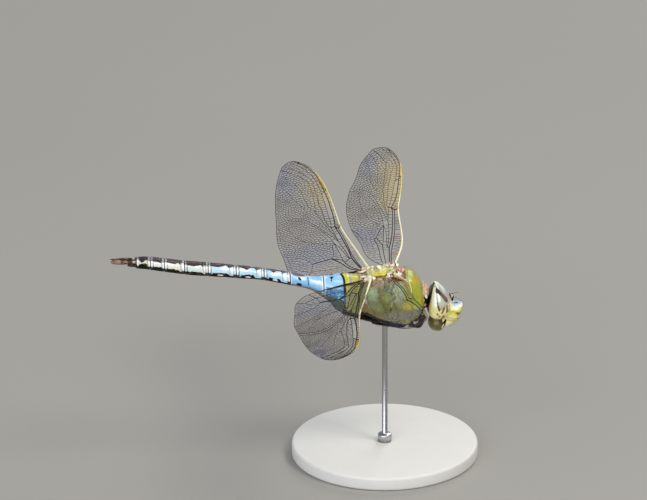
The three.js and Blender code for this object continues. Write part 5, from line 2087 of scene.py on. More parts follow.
HIND_WING = WingPlan(
    kind="hind",
    length=50.0,
    root=(-3.3, 3.1, 6.2),
    leading=(
        (0, 0), (0.2, 0.1), (0.42, 0.4), (0.55, -0.1), (0.7, -0.6), (0.82, -0.6), (0.91, 0.2),
        (0.97, 1.7),
    ),
    tip=(1.0, 4.0),
    trailing=(
        (0, 1.4), (0.03, 8.0), (0.08, 13.8), (0.16, 15.5), (0.28, 15.2), (0.42, 14.7),
        (0.56, 13.1), (0.7, 11.5), (0.82, 9.8), (0.91, 8.0), (0.97, 6.4),
    ),
    nodus=21.75,
    stigma=(37.8, 43.4),
    amber=(26.0, 44.0),
    bars=((4.2, 0.15, 1.3), (11.3, 0.3, 1.3), (21.7, 0.4, 1.5)),
    veins=(
        Vein((0.13, 0.08), -0.25, (
            (0, 1.1), (3, 1.3), (6, 1.45), (9, 1.42), (12, 1.2), (15, 1.05), (18, 1.0),
            (20.5, 1.02), (21.2, 0.95), (21.75, 0.35),
        )),
        Vein((0.2, 0.07), 0.12, (
            (0, 1.3), (3, 1.65), (6.7, 1.87), (9, 1.7), (11, 1.55), (15, 1.45), (19, 1.42),
            (22, 1.5), (24, 1.1), (26, 0.82), (28, 0.55), (30, 0.4), (32.5, 0.15), (35, 0.05),
            (37.8, 0.02), (40, 0.02), (43.4, 0.15), (45, 0.5), (46.5, 1.05), (48, 1.9),
            (49.2, 3.0),
        )),
        Vein((0.09, 0.08), 0.0, ((6.7, 1.8), (6.85, 2.4), (6.3, 3.1), (6.0, 3.75))),
        Vein((0.1, 0.05), -0.1, (
            (6.8, 2.2), (7.4, 2.3), (10, 2.2), (13, 2.35), (15, 2.52), (17, 2.45), (20, 2.35),
            (22, 2.4), (23.5, 2.05), (25, 1.85), (27, 1.65), (30, 1.33), (33, 1.05), (36, 0.85),
            (38, 0.72), (41, 0.72), (43, 1.0), (45, 1.4), (47, 2.2), (48.3, 3.3), (49.2, 4.5),
        )),
        Vein((0.08, 0.045), -0.12, (
            (22, 2.45), (23.3, 2.8), (25, 2.82), (27, 2.75), (30, 2.55), (33, 2.4), (35, 2.12),
            (38, 1.85), (40, 1.7), (41.5, 1.55), (43, 1.9), (45, 2.9), (46.7, 4.3), (48.2, 6.0),
        )),
        Vein((0.07, 0.045), 0.12, (
            (16, 2.5), (18.5, 2.7), (20.5, 2.9), (22.5, 3.17), (24, 3.4), (26, 3.6), (28, 3.8),
            (29.5, 3.85), (31, 3.6), (33, 3.3), (35, 3.0), (38, 2.6), (40, 2.45), (41.5, 2.6),
            (43, 3.3), (45, 4.7), (46.4, 6.2), (47.0, 7.2),
        )),
        Vein((0.05, 0.04), 0.08, (
            (29.5, 3.9), (30.8, 4.6), (33, 4.9), (36, 4.9), (39, 5.0), (41.5, 5.5),
            (43.5, 6.5), (45, 7.6),
        )),
        Vein((0.05, 0.04), -0.03, (
            (30.5, 5.8), (32, 6.1), (34, 6.65), (36, 7.25), (38, 7.65), (40, 8.2), (41, 8.8),
        )),
        Vein((0.09, 0.05), -0.14, (
            (15.5, 2.5), (18, 3.1), (20, 3.8), (21.5, 4.3), (23, 4.8), (24.5, 5.4), (26, 6.1),
            (27, 6.7), (28, 7.6), (28.6, 8.4), (28.75, 9.5), (28.5, 11.0), (27.9, 13.3),
        )),
        Vein((0.09, 0.05), 0.12, (
            (7.0, 2.4), (9, 2.6), (11, 2.85), (13, 3.1), (15.1, 3.5), (17, 3.7), (18.5, 3.95),
            (20, 4.3), (21.3, 4.7), (22.5, 5.1), (23.5, 5.5), (24.5, 6.0), (25.5, 6.65),
            (26.5, 7.4), (27.3, 8.4), (27.7, 9.6), (27.6, 11.2), (27.0, 13.6),
        )),
        Vein((0.08, 0.08), 0.0, ((7.2, 3.85), (10, 3.62), (12.5, 3.6), (15.05, 3.55))),
        Vein((0.09, 0.09), 0.0, ((7.2, 3.85), (8.2, 4.9), (9.1, 5.85))),
        Vein((0.08, 0.08), 0.0, (
            (9.2, 5.85), (10.3, 5.05), (12.4, 4.55), (14.2, 4.2), (15.05, 3.6),
        )),
        Vein((0.12, 0.09), -0.1, ((0, 1.38), (2.5, 2.9), (5, 3.6), (7.2, 3.85))),
        Vein((0.12, 0.1), 0.05, (
            (0.1, 1.6), (2, 3.3), (4, 4.0), (6, 4.55), (7.5, 5.1), (9.1, 5.9),
        )),
        Vein((0.12, 0.1), 0.08, ((9.1, 5.9), (9.15, 7.5), (9.1, 9.0), (9.1, 10.1))),
        Vein((0.06, 0.045), -0.08, (
            (9.2, 7.2), (10.7, 7.4), (12, 7.75), (13.5, 8.2), (14.5, 8.85), (16, 9.5),
            (17.3, 10.3), (19, 11.5), (21, 13.2), (22, 15.2),
        )),
        Vein((0.07, 0.05), 0.05, (
            (9.1, 10.1), (10.8, 10.6), (12, 11.3), (13.5, 12.8), (14.5, 14.2), (15, 15.9),
        )),
        Vein((0.05, 0.04), 0.03, (
            (15.3, 3.8), (16, 5.6), (17.3, 7.6), (18.8, 9.2), (20.2, 10.1), (21, 10.4),
            (22.5, 10.85), (24, 11.1), (25.5, 11.3),
        )),
        Vein((0.06, 0.05), 0.05, (
            (4.4, 4.1), (4.5, 6.0), (5.0, 8.2), (5.8, 10.0), (6.2, 11.4), (8.1, 13.4),
        )),
        Vein((0.07, 0.05), 0.0, ((9.1, 10.1), (8, 10.5), (6.3, 11.2), (5.0, 12.2), (3.9, 13.0))),
        Vein((0.05, 0.05), 0.0, ((9.2, 10.1), (9.2, 12.8), (8.3, 13.4), (7.8, 15.6))),
        Vein((0.1, 0.13), 0.0, ((21.8, 0.4), (21.4, 0.8), (21.2, 1.2), (22.0, 1.55))),
        Vein((0.13, 0.09), 0.0, ((22.1, 1.4), (22, 2.45))),
        Vein((0.08, 0.06), 0.0, ((37.7, -0.5), (36.8, 0.2), (36.0, 0.85))),
    ),
)


@dataclass
class WingNet:
    """The fine net of cells between a wing's main veins, worked out flat.

    The wing is laid on a raster; the main veins cut it into fields, and each field is filled
    with cells whose centres have been evened out. A border is probed for its field at steps of
    probe. It is cut to the longest, dropped under the shortest, and kept where at least least
    of it lies in the field.
    """

    plan: WingPlan
    step: float = 0.08
    rounds: int = 9
    seed: int = 5
    margin: float = 1.6
    shortest: float = 0.02
    longest: float = 40.0
    probe: float = 0.04
    least: float = 0.1

    def __post_init__(self) -> None:
        """Work out the raster, the fields, the cells and the pleats."""
        self.edge = self.plan.outline(0.3)
        low = self.edge.min(axis=0) - self.margin
        high = self.edge.max(axis=0) + self.margin
        self.low = low
        self.size = np.ceil((high - low) / self.step).astype(int)
        self.inside = self.filled(self.edge)
        self.lines = [
            self.kept(spaced_line(smooth_line(vein.points, 8), 0.25)) for vein in self.plan.veins
        ]
        self.fields = self.field_labels()
        self.pleats = self.pleat_heights()
        self.sites = np.zeros((0, 2))
        self.nodes: list[tuple[float, float]] = []
        self.links: list[tuple[int, int]] = []
        self.fill_with_cells()

    def cell_of(self, points: Array) -> tuple[Array, Array]:
        """Raster rows and columns of points."""
        spot = ((np.asarray(points) - self.low) / self.step).astype(int)
        spot = np.clip(spot, 0, self.size - 1)
        return spot[..., 0], spot[..., 1]

    def filled(self, edge: Array) -> Array:
        """Raster of what lies inside a closed edge."""
        inside = np.zeros(self.size, bool)
        column = self.low[0] + (np.arange(self.size[0]) + 0.5) * self.step
        height = self.low[1] + (np.arange(self.size[1]) + 0.5) * self.step
        for a, b in zip(edge, np.roll(edge, -1, axis=0)):
            first, last = min(a[0], b[0]), max(a[0], b[0])
            hit = np.nonzero((column >= first) & (column < last))[0]
            if len(hit):
                cross = a[1] + (column[hit] - a[0]) / (b[0] - a[0]) * (b[1] - a[1])
                inside[hit] ^= height[None, :] > cross[:, None]
        return inside

    def kept(self, line: Array) -> Array:
        """The part of a line that lies on the wing, or within a hair of it."""
        near = np.array([
            any(self.inside[self.cell_of(p + shift)] for shift in 0.15 * np.array(
                [(0, 0), (1, 0), (-1, 0), (0, 1), (0, -1)]
            ))
            for p in line
        ])
        return line[near]

    def field_labels(self) -> Array:
        """Number of the field that each raster cell belongs to, or 0 under a main vein."""
        labels = np.where(self.inside, -1, 0)
        for line in self.lines:
            labels[self.cell_of(spaced_line(line, 0.03))] = 0
        count = 0
        for row, col in zip(*np.nonzero(self.inside)):
            if labels[row, col] != -1:
                continue
            count += 1
            labels[row, col] = count
            queue = deque([(row, col)])
            while queue:
                i, j = queue.popleft()
                for a, b in ((i + 1, j), (i - 1, j), (i, j + 1), (i, j - 1)):
                    if labels[a, b] == -1:
                        labels[a, b] = count
                        queue.append((a, b))
        return labels

    def pleat_heights(self) -> Array:
        """Height of the membrane on a coarse raster, held at the main veins."""
        coarse = self.size // 3 + 1
        held = np.ones(coarse, bool)
        height = np.zeros(coarse)
        held[self.inside[1::3, 1::3].nonzero()] = False
        for vein, line in zip(self.plan.veins, self.lines):
            dense = spaced_line(line, 0.1)
            row, col = self.cell_of(dense)
            reach = 1.4 - 0.9 * dense[:, 0] / self.plan.length
            held[row // 3, col // 3] = True
            height[row // 3, col // 3] = 0.22 * vein.rise * reach
        for _ in range(160):
            around = (
                np.roll(height, 1, 0) + np.roll(height, -1, 0)
                + np.roll(height, 1, 1) + np.roll(height, -1, 1)
            ) / 4
            height = np.where(held, height, around)
        return height

    def height(self, points: Array) -> Array:
        """Height of the membrane at points of the wing's plane."""
        spot = (np.asarray(points) - self.low) / (3 * self.step) - 0.5
        spot = np.clip(spot, 0, np.array(self.pleats.shape) - 1.001)
        i, j = spot[..., 0].astype(int), spot[..., 1].astype(int)
        u, v = spot[..., 0] - i, spot[..., 1] - j
        h = self.pleats
        near = h[i, j] * (1 - v) + h[i, j + 1] * v
        far = h[i + 1, j] * (1 - v) + h[i + 1, j + 1] * v
        return near * (1 - u) + far * u

    def crowding(self, points: Array) -> Array:
        """Cells to each square millimetre."""
        along, behind = points[..., 0], points[..., 1]
        part = along / self.plan.length
        room = 0.92 - 0.34 * ease(0.8, 4.2, behind)
        room -= 0.2 * ease(0.3, 0.5, part) * ease(1.0, 3.0, behind)
        room -= 0.14 * ease(5.0, 9.5, behind) + 0.1 * ease(0.8, 1.0, part)
        room += 0.3 * ease(0.3, 0.1, part) * ease(2.4, 5.0, behind)
        return 1 / np.clip(1.28 * room, 0.32, 1.5)

    def fill_with_cells(self) -> None:
        """Spread cell centres over each field and join up the borders between them."""
        rng = np.random.default_rng(self.seed)
        numbers = {}
        centres = []
        for label in range(1, self.fields.max() + 1):
            row, col = np.nonzero(self.fields == label)
            points = self.low + (np.stack([row, col], axis=1) + 0.5) * self.step
            crowd = self.crowding(points)
            count = int(round(crowd.sum() * self.step**2))
            if count < 2:
                continue
            tall = 1 + 0.55 * ease(0.34, 0.12, points[:, 0].mean() / self.plan.length)
            metric = np.array([tall**0.5, tall**-0.5])
            scaled = points * metric
            sites = scaled[rng.choice(len(points), count, replace=False, p=crowd / crowd.sum())]
            for _ in range(self.rounds):
                gap = (scaled**2).sum(1)[:, None] - 2 * scaled @ sites.T + (sites**2).sum(1)[None]
                owner = gap.argmin(axis=1)
                weight = np.bincount(owner, crowd, count)
                for axis in (0, 1):
                    moved = np.bincount(owner, crowd * scaled[:, axis], count)
                    mean = moved / np.maximum(weight, 1e-9)
                    sites[:, axis] = np.where(weight > 0, mean, sites[:, axis])
            centres.append(sites / metric)
            self.join_cells(label, sites, metric, numbers)
        self.sites = np.vstack(centres)

    def join_cells(self, label: int, sites: Array, metric: Array, numbers: dict) -> None:
        """Add the borders between the cells of one field.

        Args:
            label: number of the field.
            sites: cell centres in the field's stretched plane.
            metric: how much that plane is stretched each way.
            numbers: nodes found so far, by their rounded place.
        """
        middle = sites.mean(axis=0)
        far = [middle + np.array(corner) * 300.0 for corner in ((-1, -1), (1, -1), (1, 1), (-1, 1))]
        given = [Vector(p) for p in (*sites, *far)]
        points, _, faces, *_ = delaunay_2d_cdt(given, [], [], 0, 1e-9, False)
        corners = np.array([[tuple(points[v]) for v in f] for f in faces])
        a, b, c = (corners[:, k] for k in range(3))
        twice = 2 * ((b - a)[:, 0] * (c - a)[:, 1] - (b - a)[:, 1] * (c - a)[:, 0])
        bb, cc = ((b - a) ** 2).sum(1), ((c - a) ** 2).sum(1)
        middles = a + np.stack([
            ((c - a)[:, 1] * bb - (b - a)[:, 1] * cc) / twice,
            ((b - a)[:, 0] * cc - (c - a)[:, 0] * bb) / twice,
        ], axis=1)
        middles = middles / metric
        shared: dict[tuple[int, int], int] = {}
        for index, face in enumerate(faces):
            for u, v in zip(face, (*face[1:], face[0])):
                key = (min(u, v), max(u, v))
                if key in shared:
                    self.add_border(label, middles[shared[key]], middles[index], numbers)
                else:
                    shared[key] = index

    def add_border(self, label: int, start: Array, end: Array, numbers: dict) -> None:
        """Add the part of one border that lies in its field, reaching into the veins.

        Args:
            label: number of the field.
            start: one end of the border.
            end: its other end, which may be far outside the wing.
            numbers: nodes found so far, by their rounded place.
        """
        span = np.linalg.norm(end - start)
        if span < self.shortest:
            return
        if span > self.longest:
            way = end - start
            keep = self.longest / span
            if np.abs(start - self.low).max() < 2 * self.longest:
                end = start + way * keep
            else:
                start = end - way * keep
            span = np.linalg.norm(end - start)
        count = max(int(span / self.probe), 2)
        t = np.linspace(0, 1, count + 1)
        line = start + (end - start) * t[:, None]
        within = (line > self.low).all(axis=1) & (line < self.low + self.size * self.step).all(axis=1)
        row, col = self.cell_of(line)
        held = within & (self.fields[row, col] == label)
        runs = np.flatnonzero(np.diff(np.concatenate([[0], held.astype(int), [0]])))
        for first, beyond in zip(runs[::2], runs[1::2]):
            last = beyond - 1
            if (last - first) * span / count < self.least:
                continue
            first = max(first - 1, 0)
            last = min(last + 1, count)
            ends = []
            for place in (line[first], line[last]):
                key = (round(float(place[0]), 3), round(float(place[1]), 3))
                if key not in numbers:
                    numbers[key] = len(self.nodes)
                    self.nodes.append(key)
                ends.append(numbers[key])
            self.links.append((ends[0], ends[1]))


@dataclass
class Wing:
    """A wing in the pose it is held in.

    Sweep turns it back, lift raises it, twist and wash pitch its root and its tip, bend curves
    it up and bow back. Gold is how strongly its film is tinted amber; the wings share one tint,
    and the weaker gold on the near wings is painted light, for how the amber shows at their angle.
    Weight is how stout the fine veins are; below 1 it also thins the costa and darkens it past
    the nodus as painted shade.
    """

    net: WingNet
    side: Side
    sweep: float
    lift: float
    twist: float
    wash: float
    bend: float
    bow: float
    gold: float
    weight: float = 1.0
    ribs: float = 1.0
    film: float = 0.012
    dome: float = 0.05
    cell_vein: float = 0.054
    edge_vein: float = 0.06

    @property
    def plan(self) -> WingPlan:
        """The kind of wing this is."""
        return self.net.plan

    @property
    def label(self) -> str:
        """Name of the wing's own node."""
        return f"wing_{self.plan.kind}_{self.side.label}"

    def place(self, points: Array, above: Array | float = 0.0) -> Array:
        """Points of the wing's plane in body coordinates."""
        along, behind = points[..., 0], points[..., 1]
        part = along / self.plan.length
        pitch = np.radians(self.twist + self.wash * part)
        side = self.side.value
        x = -behind * np.cos(pitch) - above * np.sin(pitch) - self.bow * part**2
        y = side * along
        z = -behind * np.sin(pitch) + above * np.cos(pitch) + self.bend * part**2
        lift, sweep = (side * math.radians(angle) for angle in (self.lift, self.sweep))
        y, z = y * math.cos(lift) - z * math.sin(lift), y * math.sin(lift) + z * math.cos(lift)
        x, y = x * math.cos(sweep) - y * math.sin(sweep), x * math.sin(sweep) + y * math.cos(sweep)
        root = self.plan.root
        return np.stack([x + root[0], y + side * root[1], z + root[2]], axis=-1)

    def film_colours(self, points: Array) -> tuple[Array, Array]:
        """Colour and density of the membrane, with a painted blue sheen of reflected sky.

        Args:
            points: points of the wing's plane.

        Returns:
            A colour and a density for each point.
        """
        along, behind = points[..., 0], points[..., 1]
        start, end = self.plan.amber
        cloud = mottle(points, 2.5, 41)
        amber = ease(start, start + 9, along) * ease(end, end - 5, along)
        amber = amber * ease(7.5, 1.5, behind + 0.8 * cloud)
        # Painted reflection: a blue-grey sheen of sky over two parts of the membrane, given as blue tint
        # and a little density.
        painted_sheen = ease(5.5, 9.0, along) * ease(19, 15, along) * ease(2.5, 5.0, behind)
        painted_sheen = painted_sheen + ease(0.66, 0.82, along / self.plan.length) * ease(4.0, 7.0, behind)
        # Gold is set per wing though the wings share one tint: the weaker gold on the near wings is
        # painted light, for how their amber shows at this angle.
        amber = amber * self.gold
        colours = tint(np.zeros((len(points), 3)) + tone("9a9aa8"), 2 * amber, "ceb43c")
        colours = tint(colours, painted_sheen * (1 - amber), "4a66b8")
        sheen_density = 0.05 * painted_sheen * min(1.0, self.weight)
        density = 0.022 * self.weight + 0.12 * amber + sheen_density + 0.006 * cloud
        root = ease(2.2, 0.2, along)
        colours = tint(colours, root, "d8cdb4")
        density += 0.25 * root * self.gold
        for place, low, high in self.plan.bars:
            bar = hump(place, 0.3, along) * band(low, high, 0.2, behind)
            colours = tint(colours, bar, "b5701e")
            density += 0.45 * bar * self.gold
        return colours, np.clip(density, 0.02, 0.95)

    def membrane(self) -> bpy.types.Object:
        """The film between the veins: one closed sheet, domed a little in every cell."""
        net = self.net
        edge = net.edge
        veins = np.vstack([spaced_line(line, 0.4) for line in net.lines])
        nodes = np.array(net.nodes)
        row, col = net.cell_of(nodes)
        nodes = nodes[net.fields[row, col] > 0]
        inner = np.vstack([veins, nodes, net.sites])
        gap = np.full(len(inner), np.inf)
        for chunk in np.array_split(np.arange(len(inner)), 12):
            away = ((inner[chunk][:, None] - edge[None]) ** 2).sum(-1)
            gap[chunk] = np.sqrt(away.min(axis=1))
        row, col = net.cell_of(inner)
        good = (gap > 0.12) & net.inside[row, col]
        domed = np.concatenate([np.zeros(len(veins) + len(nodes)), np.ones(len(net.sites))])
        flat = np.vstack([edge, inner[good]])
        raised = np.concatenate([np.zeros(len(edge)), domed[good]])
        loop = [(i, (i + 1) % len(edge)) for i in range(len(edge))]
        found = delaunay_2d_cdt([Vector(p) for p in flat], loop, [], 1, 1e-6, True)
        points, faces, origins = found[0], found[2], found[3]
        spots = np.array([tuple(p) for p in points])
        lift = np.array([max([raised[o] for o in own], default=0.0) for own in origins])
        height = net.height(spots) + self.dome * lift
        count = len(spots)
        both = np.vstack([
            self.place(spots, height + self.film), self.place(spots, height - self.film)
        ])
        turned = self.side is Side.LEFT
        triangles = []
        uses: dict[tuple[int, int], int] = {}
        for face in faces:
            if not net.inside[net.cell_of(spots[list(face)].mean(axis=0))]:
                continue
            a, b, c = face
            if turned:
                a, b, c = c, b, a
            triangles.append((a, b, c))
            triangles.append((c + count, b + count, a + count))
            for u, v in ((a, b), (b, c), (c, a)):
                uses[(u, v)] = uses.get((u, v), 0) + 1
        for u, v in uses:
            if (v, u) not in uses:
                triangles.append((v, u, u + count, v + count))
        colours, density = self.film_colours(spots)
        shape = Shape(
            both, triangles, np.vstack([colours, colours]),
            {"Density": np.concatenate([density, density])},
        )
        piece = dress(make_object(f"{self.label}_film", shape), MEMBRANE)
        return hand_in(piece, Slot.MEMBRANE, self.label)

    def tubes(self, name: str, lines: list[Array], radii: list[Array], sides: int) -> None:
        """Grow tubes along lines of the wing's plane.

        Args:
            name: what the piece is called after the wing's own name.
            lines: points of the wing's plane.
            radii: radius of the tube at each of them.
            sides: corners of its section.
        """
        flat = np.vstack(lines)
        starts = np.cumsum([0] + [len(line) for line in lines])
        edges = [
            (i, i + 1) for start, end in zip(starts, starts[1:]) for i in range(start, end - 1)
        ]
        self.grow_tubes(name, flat, edges, np.concatenate(radii), sides)

    def grow_tubes(self, name: str, flat: Array, edges: list, radii: Array, sides: int) -> None:
        """Grow tubes along the edges between points of the wing's plane.

        Args:
            name: what the tubes are, for the piece's name.
            flat: the points.
            edges: pairs of their numbers.
            radii: the tube's radius at each point.
            sides: corners of its section.
        """
        source = bpy.data.meshes.new(f"{self.label}_{name}.lines")
        spots = (self.place(flat, self.net.height(flat)) + np.array([0, 0, BODY_LIFT])) * MM
        source.from_pydata(spots.tolist(), edges, [])
        layer = source.attributes.new("Thickness", "FLOAT", "POINT")
        layer.data.foreach_set("value", (radii * MM).astype(np.float32))
        along, behind = flat[:, 0], flat[:, 1]
        start, end = self.plan.amber
        warm = band(start + 4, end, 5, along) * ease(4.5, 1.5, behind) * self.gold
        colours = np.zeros((len(flat), 3)) + tone("1f1712")
        colours = tint(colours, 0.4 * ease(0.075, 0.04, radii), "3f3026")
        colours = tint(colours, 0.6 * warm * ease(0.08, 0.04, radii), "7d5522")
        root = ease(1.5, 0.2, along) * (name != "rim")
        colours = tint(colours, 0.75 * root, "9c7a44")
        layer = source.attributes.new("Tint", "FLOAT_COLOR", "POINT")
        rgba = np.ones((len(flat), 4), np.float32)
        rgba[:, :3] = colours
        layer.data.foreach_set("color", rgba.ravel())
        inputs = {"Sides": sides, "Finish": FINISHES.of(VEIN_PLATE)}
        piece = realised(f"{self.label}_{name}", source, VEIN_TREE, inputs)
        hand_in(piece, Slot.VEIN)

    def front_edge(self) -> None:
        """The strong pale vein along the front edge, thinning round the tip, with painted shade on its
        underside.
        """
        line = spaced_line(self.plan.front(), 0.3)
        part = line[:, 0] / self.plan.length
        width = along_points(
            ((0, 0.27), (0.1, 0.24), (0.3, 0.19), (0.5, 0.16), (0.8, 0.13), (0.92, 0.09), (1, 0.06)),
            part,
        )
        width += 0.1 * hump(self.plan.nodus, 0.5, line[:, 0])
        width *= 1 - 0.6 * max(0, 1 - self.weight) * ease(0.02, 0.1, part)
        rings = limb(self.place(line), width, 10)
        shade = tint(np.zeros((len(line), 3)) + tone("f0e8c0"), ease(0.45, 0.75, part), "dcc862")
        shade = tint(shade, ease(0.88, 0.96, part), "3a2c1c")
        shade = tint(shade, 0.7 * hump(self.plan.nodus, 0.4, line[:, 0]), "6a4c22")
        # Painted shade: with weight below 1 the costa past the nodus darkens, for the shade on the near
        # wings' costa seen from below.
        shade = tint(shade, 1.4 * max(0, 1 - self.weight) * ease(0.38, 0.46, part), "2a2418")
        shade = tint(shade, 0.5 * ease(0.05, 0.0, part), "f1e9c8")
        colours = np.broadcast_to(shade[:, None], rings.shape).copy()
        # Painted shade: the lower side of the costa is darkened to under half its colour.
        under = np.sin(np.linspace(0, 2 * math.pi, 10, endpoint=False)) < -0.4
        colours[:, under] = colours[:, under] * 0.45
        piece = dress(make_object(f"{self.label}_costa", lofted(rings, colours)), VEIN_PLATE)
        hand_in(piece, Slot.COSTA)

    def stigma(self) -> None:
        """The long coloured cell near the tip."""
        start, end = self.plan.stigma
        front = self.plan.front()
        rear = self.net.lines[1]
        along = np.linspace(start, end, 24)
        low = np.interp(along, front[:, 0], front[:, 1]) + 0.04
        high = np.interp(along, rear[:, 0], rear[:, 1]) + 0.02
        turn = np.linspace(0, 2 * math.pi, 12, endpoint=False)
        swell = np.clip(np.sin(np.linspace(0, math.pi, 24)) * 4, 0.3, 1)[:, None]
        across = np.sign(np.cos(turn)) * np.abs(np.cos(turn)) ** 0.5
        behind = (low + high)[:, None] / 2 + (high - low)[:, None] / 2 * swell * across
        flat = np.stack([along[:, None] + 0 * behind, behind], axis=-1)
        above = 0.1 * swell * np.sin(turn) + self.net.height(flat)
        rings = self.place(flat, above)
        part = (along - start) / (end - start)
        shade = tint(np.zeros((24, 3)) + tone("94822a"), ease(0.3, 0.9, part), "a8802a")
        shade = tint(shade, np.maximum(ease(0.07, 0.0, part), ease(0.95, 1.0, part)), "1a140e")
        colours = np.broadcast_to(shade[:, None], rings.shape).copy()
        piece = dress(make_object(f"{self.label}_stigma", lofted(rings, colours)), VEIN_PLATE)
        hand_in(piece, Slot.COSTA)

    def hinge(self) -> None:
        """The small plates that join the wing to the thorax."""
        last = self.plan.trailing[0][1]
        lumps = (
            ((-0.1, 0.1), (0.75, 0.42, 0.4), 0.12, "e8dfbe"),
            ((0.55, 0.35), (0.55, 0.3, 0.3), 0.1, "d9c682"),
            ((-0.25, 0.75), (0.6, 0.5, 0.36), -0.05, "8a4a1c"),
            ((0.35, 1.15), (0.9, 0.24, 0.24), 0.1, "c9b08c"),
            ((-0.35, last - 0.5), (0.7, 0.6, 0.32), 0.1, "d8cbb6"),
            ((0.2, last), (0.6, 0.26, 0.24), 0.05, "ab8f70"),
            ((-0.7, 0.5 * last), (0.8, 0.75 * last, 0.5), -0.35, "a98c6e"),
            ((-0.9, 0.2 * last), (0.5, 0.5, 0.4), 0.3, "efe6d2"),
        )
        shapes = []
        for (along, behind), half, rise, shade in lumps:
            unit = ellipsoid((0, 0, 0), half, 10, 16)
            flat = np.stack([along + unit[..., 0], behind + unit[..., 1]], axis=-1)
            rings = self.place(flat, rise + unit[..., 2])
            rings = rings + 0.03 * mottle(rings, 0.6, 51)[..., None]
            colours = painted(rings, shade)
            colours = tint(colours, 0.5 * ease(0, 1, mottle(rings, 0.5, 52)), "f0e6d6")
            colours = tint(colours, 0.5 * ease(0.2, 1, mottle(rings, 0.6, 53)), "6b4326")
            shapes.append(lofted(rings, colours))
        piece = dress(make_object(f"{self.label}_hinge", shapes[0].joined(*shapes[1:])), BODY_PLATE)
        hand_in(piece, Slot.PALE)

    def teeth(self) -> None:
        """The row of tiny teeth along the front edge."""
        line = spaced_line(self.plan.front(), 0.42)[6:-10]
        part = line[:, 0] / self.plan.length
        width = along_points(((0, 0.24), (0.3, 0.18), (0.8, 0.13), (1, 0.06)), part)
        way = np.gradient(line, axis=0)
        way /= np.linalg.norm(way, axis=1, keepdims=True)
        forth = np.stack([way[:, 1], -way[:, 0]], axis=1)
        roots = self.place(line + forth * width[:, None] * 0.85)
        tips = self.place(line + forth * (width[:, None] + 0.2) + way * 0.16)
        facing = tips - roots
        facing /= np.linalg.norm(facing, axis=1, keepdims=True)
        name = f"{self.label}_teeth"
        shade = tone("3a2a1a")
        grown = Bristles(name, roots, facing, np.full(len(roots), 0.17), 0.035, shade, sides=3)
        hand_in(grown.build(VEIN_PLATE), Slot.VEIN)

    def build(self) -> None:
        """Make every piece of the wing."""
        net = self.net
        self.membrane()
        lines = [line for line in net.lines if len(line) > 1]
        radii = []
        for vein, line in zip(self.plan.veins, net.lines):
            if len(line) > 1:
                stout = self.ribs * self.weight ** (0.4 if len(radii) < 2 else 1.0)
                radii.append(stout * np.linspace(0.75 * vein.radii[0], 1.1 * vein.radii[1], len(line)))
        self.tubes("veins", lines, radii, 7)
        rear = net.edge[np.argmax(net.edge[:, 0]) - 6:]
        reach = np.hypot(rear[:, 0] - rear[-1, 0], rear[:, 1] - rear[-1, 1])
        # The hind wings' rim thickens near the root: partly the real thick edge, partly a dark stand-in
        # for the shadow that edge casts on the body.
        hem = 0.17 * ease(11.0, 4.0, reach) * (self.plan.kind == "hind")
        self.tubes("rim", [rear], [self.edge_vein + hem], 6)
        nodes = np.array(net.nodes)
        fine = self.weight * self.cell_vein * (0.6 + 0.4 * ease(4, 15, nodes[:, 0]))
        self.grow_tubes("cells", nodes, net.links, fine, 4)
        self.front_edge()
        self.stigma()
        self.hinge()
        self.teeth()
# ---------------------------------------------------------------- legs and tail


